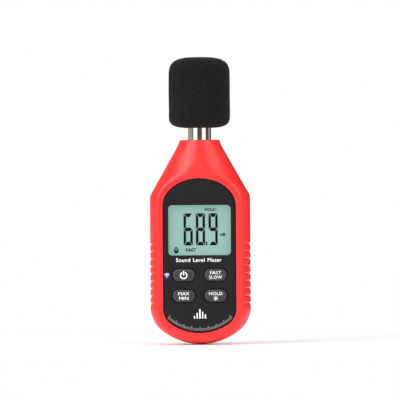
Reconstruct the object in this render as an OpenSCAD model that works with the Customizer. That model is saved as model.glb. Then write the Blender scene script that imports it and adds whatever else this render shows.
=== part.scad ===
// Hand-held sound level meter, in millimetres. A two-shell case carries a display, four keys and
// a battery bay, and a foam-covered microphone stands on its neck.
// +Z is up, the front faces -Y, and the origin lies under the middle of the upright meter.

/* [Case] */
// Width of the case
case_w = 55; // [54.6:0.1:56]
// Height of the case, up to the flat top of its neck
case_h = 112.2; // [112:0.1:113]
// Depth from the parting plane to the front of the rim
front_d = 13.5; // [13.4:0.1:14]
// Depth from the parting plane to the flat back
back_d = 14.5; // [14.5:0.1:15]
// Wall thickness
wall = 2.1; // [1.9:0.1:2.2]
// Radius of the round bottom end
end_r = 34; // [33:0.5:36]
// Radius between the bottom end and the sides
blend_r = 17; // [15:0.5:18]
// Height at which the shoulder starts to narrow
shoulder_z = 81.6; // [81:0.1:82]
// Number of grip grooves on each side
grooves = 9; // [5:1:9]
// Distance between grip grooves
groove_pitch = 4.07; // [3:0.01:4.1]

/* [Front] */
// Half width of the front panel
panel_hw = 19.9; // [19.5:0.1:20]
// Height of the panel's arched top
panel_top = 90.9; // [90:0.1:91]
// How far the panel lies behind the rim
panel_sink = 1.3; // [1:0.1:1.4]
// Width of the display window
window_w = 34.5; // [33:0.1:34.6]
// Height of the display window
window_h = 27.7; // [26:0.1:28]
// Middle of the display window above the bottom
window_z = 62.65; // [62:0.05:63]
// Length of a key
key_w = 12.6; // [11:0.1:12.8]
// Height of a key
key_h = 7; // [6:0.1:7.2]
// Distance of the key middles from the centre line
key_x = 8.75; // [8.6:0.05:8.9]
// Travel of a key
key_travel = 0.8; // [0.4:0.1:0.8]

/* [Microphone] */
// Diameter of the microphone tube, half an inch
mic_d = 12.7; // [12.7]
// Diameter of the foam windscreen
foam_d = 34; // [33:0.5:36]
// Bottom of the windscreen
foam_z0 = 118.6; // [117:0.1:120]
// Top of the windscreen
foam_z1 = 157.9; // [157:0.1:160]

/* [Batteries] */
// Diameter of an AAA cell
cell_d = 10.5; // [10.4:0.1:10.5]
// Length of an AAA cell with its button
cell_h = 44.5; // [44:0.1:44.5]
// Distance between the cells' middles
cell_pitch = 10.8; // [10.7:0.05:10.8]

/* [Hidden] */
$fn = 48;

case_hw = case_w / 2;
// Gap between pieces that move apart, and between pieces of one body
gap = 0.3;
slip = 0.05;
// How far a cutting solid overshoots the face that it cuts, and how far joined solids overlap
cut = 1;
join = 0.1;

// Outline: the tangent points of the bottom end, its blends and the shoulder
blend_x = case_hw - blend_r;
blend_z = end_r - sqrt(pow(end_r - blend_r, 2) - pow(blend_x, 2));
end_a = asin(blend_x / (end_r - blend_r));
neck_hw = 10.9;
neck_base_hw = 12.1;
neck_base_z = case_h - 3.3;
shoulder_r = 6;
taper_slope = (case_hw - neck_base_hw) / (neck_base_z - shoulder_z);
taper_a = atan(taper_slope);
shoulder_z0 = shoulder_z - shoulder_r * tan(taper_a / 2);
shoulder_z1 = shoulder_z0 + shoulder_r * sin(taper_a);

// Cross-sections: squarish in the body, round at the neck
body_power = 8;
flat_k = 0.05;
edge_r = 6;
front_fall_z = 88;
back_fall_z = 86;
cavity_top = case_h - 2.9;
arc_steps = 32;

// Layers from front to back
panel_y = -front_d + panel_sink;
panel_t = 1.6;
floor_y = panel_y + panel_t;
floor_t = 1.6;
inside_y = floor_y + floor_t;
board_y = -2.4;
board_t = 1.6;
glass_y = inside_y + 0.4;
glass_t = 2;
board_back_y = board_y + board_t;
board_hw = 22;
board_neck_hw = 11;
board_z0 = 18;
board_step_z = 82;
board_z1 = 99.5;

// Panel outline
panel_end_r = 27.5;
panel_blend_r = 10;
arch_h = 14.9;
rim_w = 3.1;
bevel_y = panel_y - 0.35;

// Keys
key_rows = [38.1, 26.7];
key_gap = 0.3;
key_proud = 0.8;
flange_t = 1;
flange_grow = 0.8;
mat_t = 1;
stem_y = board_y - mat_t - key_travel - 0.2;
flange_y = inside_y + 0.1;

// Display stack
glass_w = 38;
glass_h = 31;
guide_w = 36;
guide_h = 26.5;
strip_t = 1.6;
frame_grow = 2;
pin_r = 0.85;
pin_x = glass_w / 2 + frame_grow - 1;
pin_z = glass_h / 2 + frame_grow - 1;

// Screws
board_screw_at = [[19.7, 20.5], [-19.7, 20.5], [7.5, 94.5], [-7.5, 94.5]];
case_screw_at = [[21, 14], [-21, 14], [15, 88], [-15, 88]];
screw_r = 0.95;
screw_hole_r = 1;
screw_tip_y = -5;
board_screw_head_r = 2;
case_screw_head_r = 2.3;
case_head_y = 6;
case_boss_r = 3.5;
front_boss_r = 2.75;
board_boss_r = 2.5;

// Microphone
mic_r = mic_d / 2;
mic_wall = 0.8;
mic_z0 = 101.5;
mic_z1 = 146;
grid_h = 3.5;
lead_r = 0.9;
lead_y = board_back_y + lead_r + slip;
mic_plug_z = 94;
foam_low_h = 8;
foam_top_h = 12;

// Battery bay
bay_hw = 1.5 * cell_pitch;
bay_wall = 1.2;
bay_z0 = 16.5;
bay_z1 = 66.5;
bay_y = 1.4;
ledge_y = 12.5;
cell_y = 6.8;
spring_h = 3.6;
plate_t = 0.4;
bump_h = 1.1;
lead_wire_r = 0.5;
lead_at = [[-15.2, bay_z0 + 2.4], [15.2, bay_z1 - 2.4]];
lead_bend_y = 2.6;

// Battery door: it tilts about its half-round top edge, and its hooks swing in a pocket of the shell
door_hw = bay_hw + 0.4;
door_z0 = 8.3;
door_z1 = 71.6;
door_y = 12.7;
door_r = 2;
door_edge_r = 1.2;
door_axis_z = door_z1 - door_edge_r;
hook_x = 9;
hook_w = 5;
hook_t = 1.1;
hook_y = 11;
hook_z0 = door_axis_z - 0.8;
hook_z1 = 73.4;
pocket_hw = 13.4;
pocket_y = 8.2;
pocket_z1 = 74;
pocket_wall = 1.2;
label_at = [0, 44];
label_size = [26, 22];
label_t = 0.15;

// Screw of the battery door, in a well below the bay
door_screw_z = 12;
door_boss_hw = 6;
door_boss_y = 11.2;
well_y = 10.9;
well_floor_t = 1.5;
door_head_r = 2.5;
door_head_y = 12.4;
door_shank_r = 1.1;
door_tip_y = 7.9;
screw_boss_r = 3.2;
screw_boss_y = 2;

// Tripod insert: 1/4-20 UNC, bore at the thread's minor diameter
tripod_z = 81.5;
tripod_r = 2.6;
insert_r = 4.5;
insert_h = 8;
boss_r = 6.5;

red = [0.86, 0.16, 0.15];
dark = [0.2, 0.2, 0.21];
key_grey = [0.36, 0.36, 0.38];
metal = [0.78, 0.76, 0.73];
green = [0.1, 0.38, 0.2];

// ---- shared shapes ----

function clamp01(u) = min(max(u, 0), 1);
function smooth(u) = let (c = clamp01(u)) c * c * (3 - 2 * c);
function taper(z) = clamp01((z - shoulder_z0) / (case_h - shoulder_z0));
function power(z) = 2 + (body_power - 2) * pow(1 - taper(z), 3);
function circle_x(r, dz) = sqrt(max(r * r - dz * dz, 0));

// Half width of the case outline at height z, moved inwards by g
function half_width(z, g) =
    z < end_r - (end_r - g) * cos(end_a) ? circle_x(end_r - g, end_r - z) :
    z < blend_z ? blend_x + circle_x(blend_r - g, blend_z - z) :
    z < shoulder_z0 ? case_hw - g :
    z < shoulder_z0 + (shoulder_r - g) * sin(taper_a) ?
        case_hw - shoulder_r + circle_x(shoulder_r - g, z - shoulder_z0) :
    max(case_hw - (z - shoulder_z) * taper_slope - g / cos(taper_a),
        neck_base_hw - (z - neck_base_z) * (neck_base_hw - neck_hw) / (case_h - neck_base_z) - g);

// Height of a point above the round bottom end
function above_end(x, z, g) = z - end_r + circle_x(end_r - g, x);

// Depth of a half: full, rounded under along the bottom end, falling to the neck's radius
function depth(x, z, full, fall_z, g) =
    let (e = clamp01(above_end(x, z, g) / (edge_r - g)) * (edge_r - g))
    full - g - (full - neck_hw) * smooth((z - fall_z) / (case_h - fall_z))
    - (edge_r - g) + circle_x(edge_r - g, edge_r - g - e);

// Heights of the cross-sections, closer together where the outline turns
function levels(g, top, n) = concat(
    [for (i = [0 : n]) end_r - (end_r - g) * cos(end_a * i / n)],
    [for (i = [1 : n]) blend_z - (blend_r - g) * sin((90 - end_a) * (1 - i / n))],
    [for (i = [0 : 3]) shoulder_z0 + (shoulder_z1 - shoulder_z0) * i / 3],
    [for (i = [1 : n + 2]) shoulder_z1 + (neck_base_z - shoulder_z1) * i / (n + 2)],
    [top]
);

// One half cross-section, from +X round the front to -X, with its cut side at y = over
function half_section(z, g, full, fall_z, limit, over) =
    let (
        w = max(half_width(z, g), 1.4),
        p = 2 / power(z),
        middle = min(depth(0, z, full, fall_z, g), limit),
        k = 1 + flat_k * (1 - taper(z))
    )
    concat(
        [for (i = [0 : arc_steps])
            let (
                a = 180 * i / arc_steps,
                x = w * sign(cos(a)) * pow(abs(cos(a)), p),
                d = middle * k * pow(max(sin(a), 0), p)
            )
            [x, -min(d, depth(x, z, full, fall_z, g), limit), z]],
        over > 0 ? [[-w, over, z], [w, over, z]] : []
    );

module half_body(g, full, fall_z, limit, over, top, n) {
    zs = levels(g, top, n);
    rings = [for (z = zs) half_section(z, g, full, fall_z, limit, over)];
    m = len(rings[0]);
    last = len(zs) - 1;
    polyhedron(
        points = [for (ring = rings) each ring],
        faces = concat(
            [[for (j = [m - 1 : -1 : 0]) j]],
            [[for (j = [0 : m - 1]) last * m + j]],
            [for (i = [0 : last - 1]) for (j = [0 : m - 1])
                let (k = (j + 1) % m)
                [i * m + j, i * m + k, (i + 1) * m + k, (i + 1) * m + j]]
        )
    );
}

// A flat piece drawn in X and Z, from y0 at the front to y1 at the back
module slab(y0, y1) {
    translate([0, y1, 0]) rotate([90, 0, 0]) linear_extrude(y1 - y0) children();
}

// A round rod along Y
module rod(x, z, r, y0, y1) {
    translate([x, y1, z]) rotate([90, 0, 0]) cylinder(r = r, h = y1 - y0);
}

module block(x0, x1, y0, y1, z0, z1) {
    translate([x0, y0, z0]) cube([x1 - x0, y1 - y0, z1 - z0]);
}

module round_rect(w, h, r) {
    square([w - 2 * r, h], center = true);
    square([w, h - 2 * r], center = true);
    for (x = [-1, 1], z = [-1, 1])
        translate([x * (w / 2 - r), z * (h / 2 - r)]) circle(r = r);
}

module pill(w, h) {
    square([w - h, h], center = true);
    for (x = [-1, 1]) translate([x * (w - h) / 2, 0]) circle(d = h);
}

// Right half of the panel's outline, from the bottom middle to the top, grown by g
function panel_half(g) =
    let (
        bx = panel_hw - panel_blend_r,
        bz = end_r - sqrt(pow(panel_end_r - panel_blend_r, 2) - bx * bx),
        a = asin(bx / (panel_end_r - panel_blend_r)),
        az = panel_top - arch_h
    )
    concat(
        [for (i = [0 : 6]) let (t = a * i / 6)
            [(panel_end_r + g) * sin(t), end_r - (panel_end_r + g) * cos(t)]],
        [for (i = [1 : 6]) let (t = (90 - a) * (1 - i / 6))
            [bx + (panel_blend_r + g) * cos(t), bz - (panel_blend_r + g) * sin(t)]],
        [for (i = [0 : 15]) [(panel_hw + g) * cos(6 * i), az + (arch_h + g) * sin(6 * i)]]
    );

module panel_outline(g) {
    half = panel_half(g);
    top = [0, panel_top + g];
    left = [for (i = [len(half) - 1 : -1 : 1]) [-half[i][0], half[i][1]]];
    polygon(concat(half, [top], left));
}

module at_keys() {
    for (x = [-key_x, key_x], z = key_rows) translate([x, z]) children();
}

module grip_grooves(y0, y1) {
    for (i = [0 : grooves - 1], x = [-1, 1])
        rod(x * (case_hw + 0.5), 22.4 + i * groove_pitch, 1, y0, y1);
}

// ---- case ----

module front_shell() {
    color(red) difference() {
        union() {
            difference() {
                half_body(0, front_d, front_fall_z, front_d, 0, case_h, 7);
                half_body(wall, front_d, front_fall_z, -inside_y, cut, cavity_top, 4);
            }
            for (p = board_screw_at) rod(p[0], p[1], board_boss_r, inside_y - 0.5, board_y);
            for (p = case_screw_at) rod(p[0], p[1], front_boss_r, inside_y - 0.5, 0);
        }
        slab(-front_d - cut, floor_y) panel_outline(0.2);
        hull() {
            slab(-front_d - 0.6, -front_d - 0.5) panel_outline(rim_w);
            slab(bevel_y, bevel_y + 0.1) panel_outline(0.2);
        }
        slab(floor_y - cut, inside_y + cut)
            translate([0, window_z]) round_rect(window_w - 2, window_h - 2, 1.5);
        slab(floor_y - cut, inside_y + cut) at_keys() pill(key_w + 2 * key_gap, key_h + 2 * key_gap);
        for (p = board_screw_at) rod(p[0], p[1], screw_hole_r, inside_y + 0.6, board_y + cut);
        for (p = case_screw_at) rod(p[0], p[1], screw_hole_r, inside_y + 1, cut);
        translate([0, 0, cavity_top - cut]) cylinder(r = mic_r + slip, h = case_h);
        grip_grooves(-9, cut);
    }
}

module rear_shell() {
    opening_hw = door_hw + gap;
    side_hw = bay_hw + bay_wall;
    bay_low = bay_z0 - bay_wall;
    bay_high = bay_z1 + bay_wall;
    color(red) difference() {
        union() {
            difference() {
                mirror([0, 1, 0]) half_body(0, back_d, back_fall_z, back_d, 0, case_h, 7);
                mirror([0, 1, 0]) half_body(wall, back_d, back_fall_z, back_d, cut, cavity_top, 4);
                block(-opening_hw, opening_hw, 12, back_d + cut, door_z0 - gap, door_z1 + gap);
            }
            block(-side_hw, side_hw, bay_y - bay_wall, ledge_y, bay_low, bay_high);
            block(-side_hw, side_hw, well_y - well_floor_t, ledge_y, door_z0 - 1.3, bay_low + join);
            block(-pocket_hw - pocket_wall, pocket_hw + pocket_wall, pocket_y - pocket_wall, ledge_y,
                bay_high - join, pocket_z1 + 1);
            rod(0, door_screw_z, screw_boss_r, screw_boss_y, well_y);
            rod(0, tripod_z, boss_r, back_d - insert_h - 1.8, back_d - 0.2);
            for (p = case_screw_at) rod(p[0], p[1], case_boss_r, 0, back_d - 1);
        }
        block(-bay_hw, bay_hw, bay_y, ledge_y + cut, bay_z0, bay_z1);
        block(-bay_hw, bay_hw, well_y, ledge_y + join, door_z0 - join, bay_low);
        block(-pocket_hw, pocket_hw, pocket_y, ledge_y - join, bay_high, pocket_z1);
        block(-pocket_hw, pocket_hw, pocket_y, ledge_y + join, bay_high, door_z1 + gap);
        block(-opening_hw, opening_hw, back_d - 2 * door_edge_r - gap, ledge_y + join,
            door_axis_z - 2 * door_edge_r, door_z1 + gap);
        rod(0, door_screw_z, door_shank_r + 0.35, screw_boss_y + 1.5, well_y + cut);
        rod(0, tripod_z, insert_r + slip, back_d - insert_h - 0.2, back_d + cut);
        for (p = case_screw_at) {
            rod(p[0], p[1], screw_r + 0.4, -cut, back_d);
            rod(p[0], p[1], case_screw_head_r + gap, case_head_y, back_d + cut);
        }
        for (p = lead_at) rod(p[0], p[1], lead_wire_r + gap, -cut, bay_y + cut);
        translate([0, 0, cavity_top - cut]) cylinder(r = mic_r + slip, h = case_h);
        grip_grooves(-cut, 9);
    }
}

module front_panel() {
    color(dark) difference() {
        slab(panel_y, floor_y) panel_outline(0);
        slab(panel_y - cut, floor_y + cut)
            translate([0, window_z]) round_rect(window_w, window_h, 2);
        slab(panel_y - cut, floor_y + cut) at_keys() pill(key_w + 2 * key_gap, key_h + 2 * key_gap);
    }
}

// ---- display ----

module display_window() {
    color([0.6, 0.72, 0.7], 0.5) slab(panel_y + 0.1, floor_y)
        translate([0, window_z]) round_rect(window_w - 2 * slip, window_h - 2 * slip, 2);
}

module display_gasket() {
    color([0.1, 0.1, 0.1]) slab(inside_y, glass_y - slip) translate([0, window_z]) difference() {
        square([window_w + 1.5, window_h + 1.3], center = true);
        square([window_w - 1.6, window_h - 1.6], center = true);
    }
}

module lcd_glass() {
    color([0.62, 0.76, 0.74])
        slab(glass_y, glass_y + glass_t) translate([0, window_z]) square([glass_w, glass_h], center = true);
}

module lcd_frame() {
    out_w = glass_w + 2 * frame_grow;
    out_h = glass_h + 2 * frame_grow;
    color([0.85, 0.85, 0.83]) {
        slab(inside_y + 0.1, board_y) translate([0, window_z]) difference() {
            square([out_w, out_h], center = true);
            square([glass_w + 0.3, glass_h + 0.3], center = true);
        }
        for (x = [-1, 1], z = [-1, 1])
            rod(x * pin_x, window_z + z * pin_z, pin_r, board_y - 0.5, board_back_y + 0.4);
    }
}

module light_guide() {
    color([0.93, 0.96, 0.95]) slab(glass_y + glass_t + slip, board_y - 1.2)
        translate([0, window_z]) square([guide_w, guide_h], center = true);
}

module zebra_strips() {
    for (z = [-1, 1]) color([0.15, 0.15, 0.16])
        translate([-17, glass_y + glass_t, window_z + z * (glass_h / 2 - 1) - strip_t / 2])
            cube([34, board_y - glass_y - glass_t, strip_t]);
}

// ---- board: lamps beside the light guide, a capacitor, the microphone's socket and small chips ----

module main_board() {
    color(green) slab(board_y, board_back_y) difference() {
        union() {
            translate([-board_hw, board_z0]) square([2 * board_hw, board_step_z - board_z0]);
            translate([-board_neck_hw, board_z0]) square([2 * board_neck_hw, board_z1 - board_z0]);
        }
        for (p = board_screw_at) translate(p) circle(r = 1.2);
        for (x = [-1, 1], z = [-1, 1])
            translate([x * pin_x, window_z + z * pin_z]) circle(r = pin_r + 0.15);
    }
}

// A flat square chip with a plate of leads on each side
module processor() {
    at = [-13.2, 76];
    body_w = 9;
    lead_w = 8;
    leads_w = 10.8;
    lead_t = 0.1;
    color([0.12, 0.12, 0.13]) slab(board_back_y + lead_t, board_back_y + 1.4)
        translate(at) square(body_w, center = true);
    color(metal) slab(board_back_y, board_back_y + lead_t) translate(at) {
        square([leads_w, lead_w], center = true);
        square([lead_w, leads_w], center = true);
    }
}

module crystal() {
    color(metal) slab(board_back_y, board_back_y + 3.5) translate([-5.5, 89]) pill(8, 3.6);
}

module radio_module() {
    base_t = 0.8;
    can_h = 1.6;
    color(green) slab(board_back_y, board_back_y + base_t) translate([13.5, 75]) square([10, 12], center = true);
    color(metal) slab(board_back_y + base_t, board_back_y + base_t + can_h)
        translate([13.5, 73.4]) square([8.4, 7.2], center = true);
}

module board_parts() {
    chip_t = 0.8;
    color([0.75, 0.7, 0.6]) {
        for (x = [-6 : 3 : 6]) block(x - 1, x + 1, board_back_y, board_back_y + chip_t, 70.5, 71.7);
        for (z = [85, 88]) block(8.4, 9.8, board_back_y, board_back_y + chip_t, z, z + 2);
        for (z = [52, 60, 68]) block(-19, -19 + chip_t, board_y - 1.6, board_y, z, z + 3);
    }
    color([0.15, 0.15, 0.3]) rod(4.6, 88.5, 2.5, board_back_y, board_back_y + 4.6);
    color([0.9, 0.88, 0.8]) block(-2, 2, board_back_y, board_back_y + 3, 91, mic_plug_z - slip);
}

module keypad_mat() {
    color([0.75, 0.75, 0.72]) difference() {
        slab(board_y - mat_t, board_y) translate([0, (key_rows[0] + key_rows[1]) / 2])
            round_rect(33, 21, 2);
        for (x = [-key_x, key_x], z = key_rows) difference() {
            rod(x, z, 3.6, board_y - mat_t - cut, board_y - mat_t + 0.4);
            rod(x, z, 2.8, board_y - mat_t - 2 * cut, board_y);
        }
    }
}

// ---- keys ----

module key(x, z) {
    color(key_grey) translate([x, 0, z]) {
        slab(panel_y - key_proud + 0.4, flange_y + 0.1) pill(key_w, key_h);
        slab(panel_y - key_proud, panel_y - key_proud + 0.4) pill(key_w - 0.8, key_h - 0.8);
        slab(flange_y, flange_y + flange_t) pill(key_w + 2 * flange_grow, key_h + 2 * flange_grow);
        slab(flange_y + flange_t - 0.1, stem_y) pill(8, 4);
    }
}

// ---- microphone ----

module mic_tube() {
    color(metal) translate([0, 0, mic_z0]) difference() {
        cylinder(r = mic_r, h = mic_z1 - mic_z0, $fn = 96);
        translate([0, 0, -cut]) cylinder(r = mic_r - mic_wall, h = mic_z1);
    }
}

module mic_grid() {
    color(metal) translate([0, 0, mic_z1]) difference() {
        rotate_extrude() polygon([
            [0, grid_h - 0.6], [5.2, grid_h - 0.6], [5.2, 0],
            [mic_r, 0], [mic_r, grid_h - 0.6], [mic_r - 0.6, grid_h], [0, grid_h]
        ]);
        for (x = [-4 : 1.6 : 4]) block(x - 0.35, x + 0.35, -3.2, 3.2, 0, grid_h + cut);
    }
}

module mic_capsule() {
    color([0.7, 0.62, 0.4]) translate([0, 0, mic_z1 - 9.5])
        rotate_extrude() polygon([[0, 0], [4, 0], [4, 1], [5.45, 1], [5.45, 9], [4.9, 9.4], [0, 9.4]]);
}

module mic_seal() {
    color([0.12, 0.12, 0.12]) translate([0, 0, cavity_top - 3.7]) difference() {
        cylinder(r = 8.2, h = 3.6);
        translate([0, 0, -cut]) cylinder(r = mic_r + 0.02, h = 3.6 + 2 * cut);
    }
}

module mic_holder() {
    z0 = mic_z0;
    z1 = cavity_top - 3.8;
    color(dark) difference() {
        union() {
            translate([0, 0, z0]) cylinder(r = 8.4, h = z1 - z0);
            block(-12, 12, -2, 2, z0, z0 + 2.2);
        }
        translate([0, 0, z0 - cut]) cylinder(r = mic_r + 0.02, h = 20);
    }
}

module mic_lead() {
    color([0.25, 0.25, 0.25]) translate([0, lead_y, mic_plug_z])
        cylinder(r = lead_r, h = mic_z1 - 9.5 - mic_plug_z, $fn = 24);
}

// Foam body with a domed top, a rounder bottom and a blind bore that fits the tube
module windscreen() {
    r = foam_d / 2;
    bore_r = mic_r + 0.1;
    bore_top = mic_z1 + grid_h + 0.4;
    mouth_a = asin(pow(bore_r / r, 2));
    color([0.13, 0.13, 0.14]) rotate_extrude($fn = 96) polygon(concat(
        [for (i = [0 : 9]) let (a = mouth_a + (90 - mouth_a) * i / 9)
            [r * pow(sin(a), 0.5), foam_z0 + foam_low_h * (1 - pow(cos(a), 0.55))]],
        [for (i = [0 : 12]) let (a = 90 * i / 12)
            [r * pow(cos(a), 0.62), foam_z1 - foam_top_h * (1 - pow(sin(a), 0.55))]],
        [[0, bore_top], [bore_r, bore_top]]
    ));
}

// ---- battery door ----

// The plate's top edge is half round about the door's axis, and two hooks catch under the shell's edge
module battery_door() {
    color(red) difference() {
        union() {
            slab(door_y, back_d) {
                translate([0, (door_z0 + door_axis_z) / 2])
                    round_rect(2 * door_hw, door_axis_z - door_z0, door_r);
                translate([-door_hw, door_axis_z - 2 * door_r]) square([2 * door_hw, 2 * door_r]);
            }
            translate([-door_hw, back_d - door_edge_r, door_axis_z]) rotate([0, 90, 0])
                cylinder(r = door_edge_r, h = 2 * door_hw);
            block(-door_boss_hw, door_boss_hw, door_boss_y, door_y + join, door_z0 + 0.6, door_screw_z + 3);
            for (x = [-hook_x, hook_x]) {
                block(x - hook_w / 2, x + hook_w / 2, hook_y, door_y + join, hook_z0, door_axis_z);
                block(x - hook_w / 2, x + hook_w / 2, hook_y, hook_y + hook_t, hook_z0, hook_z1);
            }
        }
        rod(0, door_screw_z, door_head_r + 0.4, door_head_y - join, back_d + cut);
        rod(0, door_screw_z, door_shank_r + 0.25, door_boss_y - cut, back_d);
        slab(back_d - label_t, back_d + cut)
            translate(label_at) round_rect(label_size[0] + 0.2, label_size[1] + 0.2, 1);
    }
}

module door_pad() {
    color([0.2, 0.2, 0.2]) block(-14, 14, 12.2, door_y, 28, 56);
}

module door_screw() {
    color(metal) translate([0, 0, door_screw_z]) difference() {
        union() {
            rod(0, 0, door_head_r, door_head_y, door_head_y + 1.5);
            rod(0, 0, door_shank_r, door_tip_y, door_head_y + join);
        }
        block(-1.6, 1.6, door_head_y + 0.7, back_d, -0.3, 0.3);
        block(-0.3, 0.3, door_head_y + 0.7, back_d, -1.6, 1.6);
    }
}

module rating_label() {
    color([0.8, 0.8, 0.8]) slab(back_d - label_t, back_d)
        translate(label_at) round_rect(label_size[0], label_size[1], 1);
}

// ---- batteries ----

// A cell along Z, its button up, its flat end at z = 0
module cell() {
    color([0.25, 0.35, 0.45]) cylinder(d = cell_d, h = cell_h - 0.8);
    color(metal) cylinder(d = 3.8, h = cell_h);
}

module battery_1() {
    translate([-cell_pitch, cell_y, bay_z0 + plate_t + spring_h]) cell();
}

module battery_2() {
    translate([0, cell_y, bay_z1 - plate_t - spring_h]) mirror([0, 0, 1]) cell();
}

module battery_3() {
    translate([cell_pitch, cell_y, bay_z0 + plate_t + spring_h]) cell();
}

// Conical wire spring on a plate at z = 0, its narrow end up
module cone_spring(height) {
    turns = 3;
    per_turn = 14;
    sides = 6;
    wire_r = 0.3;
    count = turns * per_turn;
    function centre(i) = let (f = i / count, r = 3.4 - 1.5 * f, a = 360 * i / per_turn)
        [r * cos(a), r * sin(a), wire_r + (height - 2 * wire_r) * f];
    rings = [for (i = [0 : count]) let (c = centre(i), a = 360 * i / per_turn)
        [for (j = [0 : sides - 1]) let (b = 360 * j / sides)
            c + wire_r * [cos(b) * cos(a), cos(b) * sin(a), sin(b)]]];
    polyhedron(
        points = [for (ring = rings) each ring],
        faces = concat(
            [[for (j = [0 : sides - 1]) j]],
            [[for (j = [sides - 1 : -1 : 0]) count * sides + j]],
            [for (i = [0 : count - 1]) for (j = [0 : sides - 1])
                let (k = (j + 1) % sides)
                [i * sides + j, (i + 1) * sides + j, (i + 1) * sides + k, i * sides + k]]
        )
    );
}

module battery_springs() {
    color(metal) {
        for (x = [-1, 1]) translate([x * cell_pitch, cell_y, bay_z0 + plate_t]) cone_spring(spring_h);
        translate([0, cell_y, bay_z1 - plate_t]) mirror([0, 0, 1]) cone_spring(spring_h);
    }
}

module battery_contacts() {
    y0 = 2;
    y1 = 11.4;
    top = bay_z1 - plate_t;
    color(metal) {
        block(-cell_pitch - 5, -cell_pitch + 4.4, y0, y1, bay_z0, bay_z0 + plate_t);
        block(-4.4, cell_pitch + 5, y0, y1, bay_z0, bay_z0 + plate_t);
        block(-cell_pitch - 5, 4.4, y0, y1, top, bay_z1);
        block(cell_pitch - 4.4, cell_pitch + 5, y0, y1, top, bay_z1);
        translate([0, cell_y, bay_z0]) cylinder(r = 2.2, h = plate_t + bump_h);
        for (x = [-1, 1]) translate([x * cell_pitch, cell_y, bay_z1 - plate_t - bump_h])
            cylinder(r = 2.2, h = plate_t + bump_h);
    }
}

module battery_leads() {
    plate_z = [bay_z0 + plate_t, bay_z1 - plate_t];
    color([0.7, 0.1, 0.1]) for (i = [0, 1]) let (p = lead_at[i]) {
        rod(p[0], p[1], lead_wire_r, board_back_y, lead_bend_y);
        translate([p[0], lead_bend_y, min(p[1], plate_z[i])])
            cylinder(r = lead_wire_r, h = abs(p[1] - plate_z[i]));
    }
}

// ---- fasteners ----

module tripod_insert() {
    color([0.78, 0.62, 0.3]) difference() {
        rod(0, tripod_z, insert_r, back_d - insert_h - 0.2, back_d - 0.2);
        rod(0, tripod_z, tripod_r, back_d - insert_h - cut, back_d + cut);
    }
}

module screw(x, z, head_y, tip_y, head_r) {
    difference() {
        union() {
            rod(x, z, head_r, head_y, head_y + 1.5);
            rod(x, z, screw_r, tip_y, head_y + 0.1);
        }
        block(x - 1.1, x + 1.1, head_y + 0.7, head_y + 2, z - 0.25, z + 0.25);
        block(x - 0.25, x + 0.25, head_y + 0.7, head_y + 2, z - 1.1, z + 1.1);
    }
}

module case_screws() {
    color(metal) for (p = case_screw_at) screw(p[0], p[1], case_head_y, screw_tip_y, case_screw_head_r);
}

module board_screws() {
    color(metal) for (p = board_screw_at) screw(p[0], p[1], board_back_y, screw_tip_y - 2, board_screw_head_r);
}

front_shell();
rear_shell();
front_panel();
display_window();
display_gasket();
lcd_glass();
lcd_frame();
light_guide();
zebra_strips();
main_board();
processor();
crystal();
radio_module();
board_parts();
keypad_mat();
key(-key_x, key_rows[0]);  // button_power
key(key_x, key_rows[0]);  // button_response
key(-key_x, key_rows[1]);  // button_max_min
key(key_x, key_rows[1]);  // button_hold
mic_tube();
mic_grid();
mic_capsule();
mic_seal();
mic_holder();
mic_lead();
windscreen();
battery_door();
door_pad();
door_screw();
rating_label();
battery_1();
battery_2();
battery_3();
battery_springs();
battery_contacts();
battery_leads();
tripod_insert();
case_screws();
board_screws();
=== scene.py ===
from math import asin, atan, atan2, copysign, cos, degrees, pi, radians, sin, sqrt, tan

import bmesh
import bpy
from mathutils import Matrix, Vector, noise
from mathutils.geometry import delaunay_2d_cdt


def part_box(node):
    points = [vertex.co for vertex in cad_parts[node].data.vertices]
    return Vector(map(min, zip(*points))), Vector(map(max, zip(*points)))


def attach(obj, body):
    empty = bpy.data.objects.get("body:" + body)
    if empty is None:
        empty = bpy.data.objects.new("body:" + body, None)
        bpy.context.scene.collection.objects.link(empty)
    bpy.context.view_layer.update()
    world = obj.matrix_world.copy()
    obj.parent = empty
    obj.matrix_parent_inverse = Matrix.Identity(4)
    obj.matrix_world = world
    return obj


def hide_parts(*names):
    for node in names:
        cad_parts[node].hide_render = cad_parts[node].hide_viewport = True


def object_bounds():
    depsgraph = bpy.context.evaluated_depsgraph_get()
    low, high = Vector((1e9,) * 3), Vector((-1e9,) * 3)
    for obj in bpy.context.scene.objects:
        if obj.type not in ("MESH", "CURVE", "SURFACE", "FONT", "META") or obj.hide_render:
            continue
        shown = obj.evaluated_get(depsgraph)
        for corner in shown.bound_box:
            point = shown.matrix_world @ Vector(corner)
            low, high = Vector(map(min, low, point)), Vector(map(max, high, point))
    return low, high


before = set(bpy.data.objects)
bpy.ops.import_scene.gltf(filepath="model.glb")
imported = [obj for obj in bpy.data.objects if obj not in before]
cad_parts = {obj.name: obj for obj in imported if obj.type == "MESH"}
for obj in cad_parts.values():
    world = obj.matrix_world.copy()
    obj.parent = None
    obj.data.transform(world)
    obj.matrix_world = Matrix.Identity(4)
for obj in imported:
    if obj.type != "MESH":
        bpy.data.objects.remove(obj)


def corners(pair):
  """A box of vectors as plain lists."""
  return [list(corner) for corner in pair]


cad_box = corners(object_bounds())

# The looks of a hand-held sound level meter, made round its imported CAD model. Shapes are worked out
# in millimetres and stored in metres; +Z is up and the front faces -Y.
MM = 0.001


def box_middle(low, high):
  """The middle of a box in XZ."""
  return (low.x + high.x) / 2, (low.z + high.z) / 2


def box_mm(node):
  """The lowest and highest corner of a CAD node, in mm."""
  low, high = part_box(node)
  return low / MM, high / MM


# ---- sizes taken from the frame ----

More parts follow.
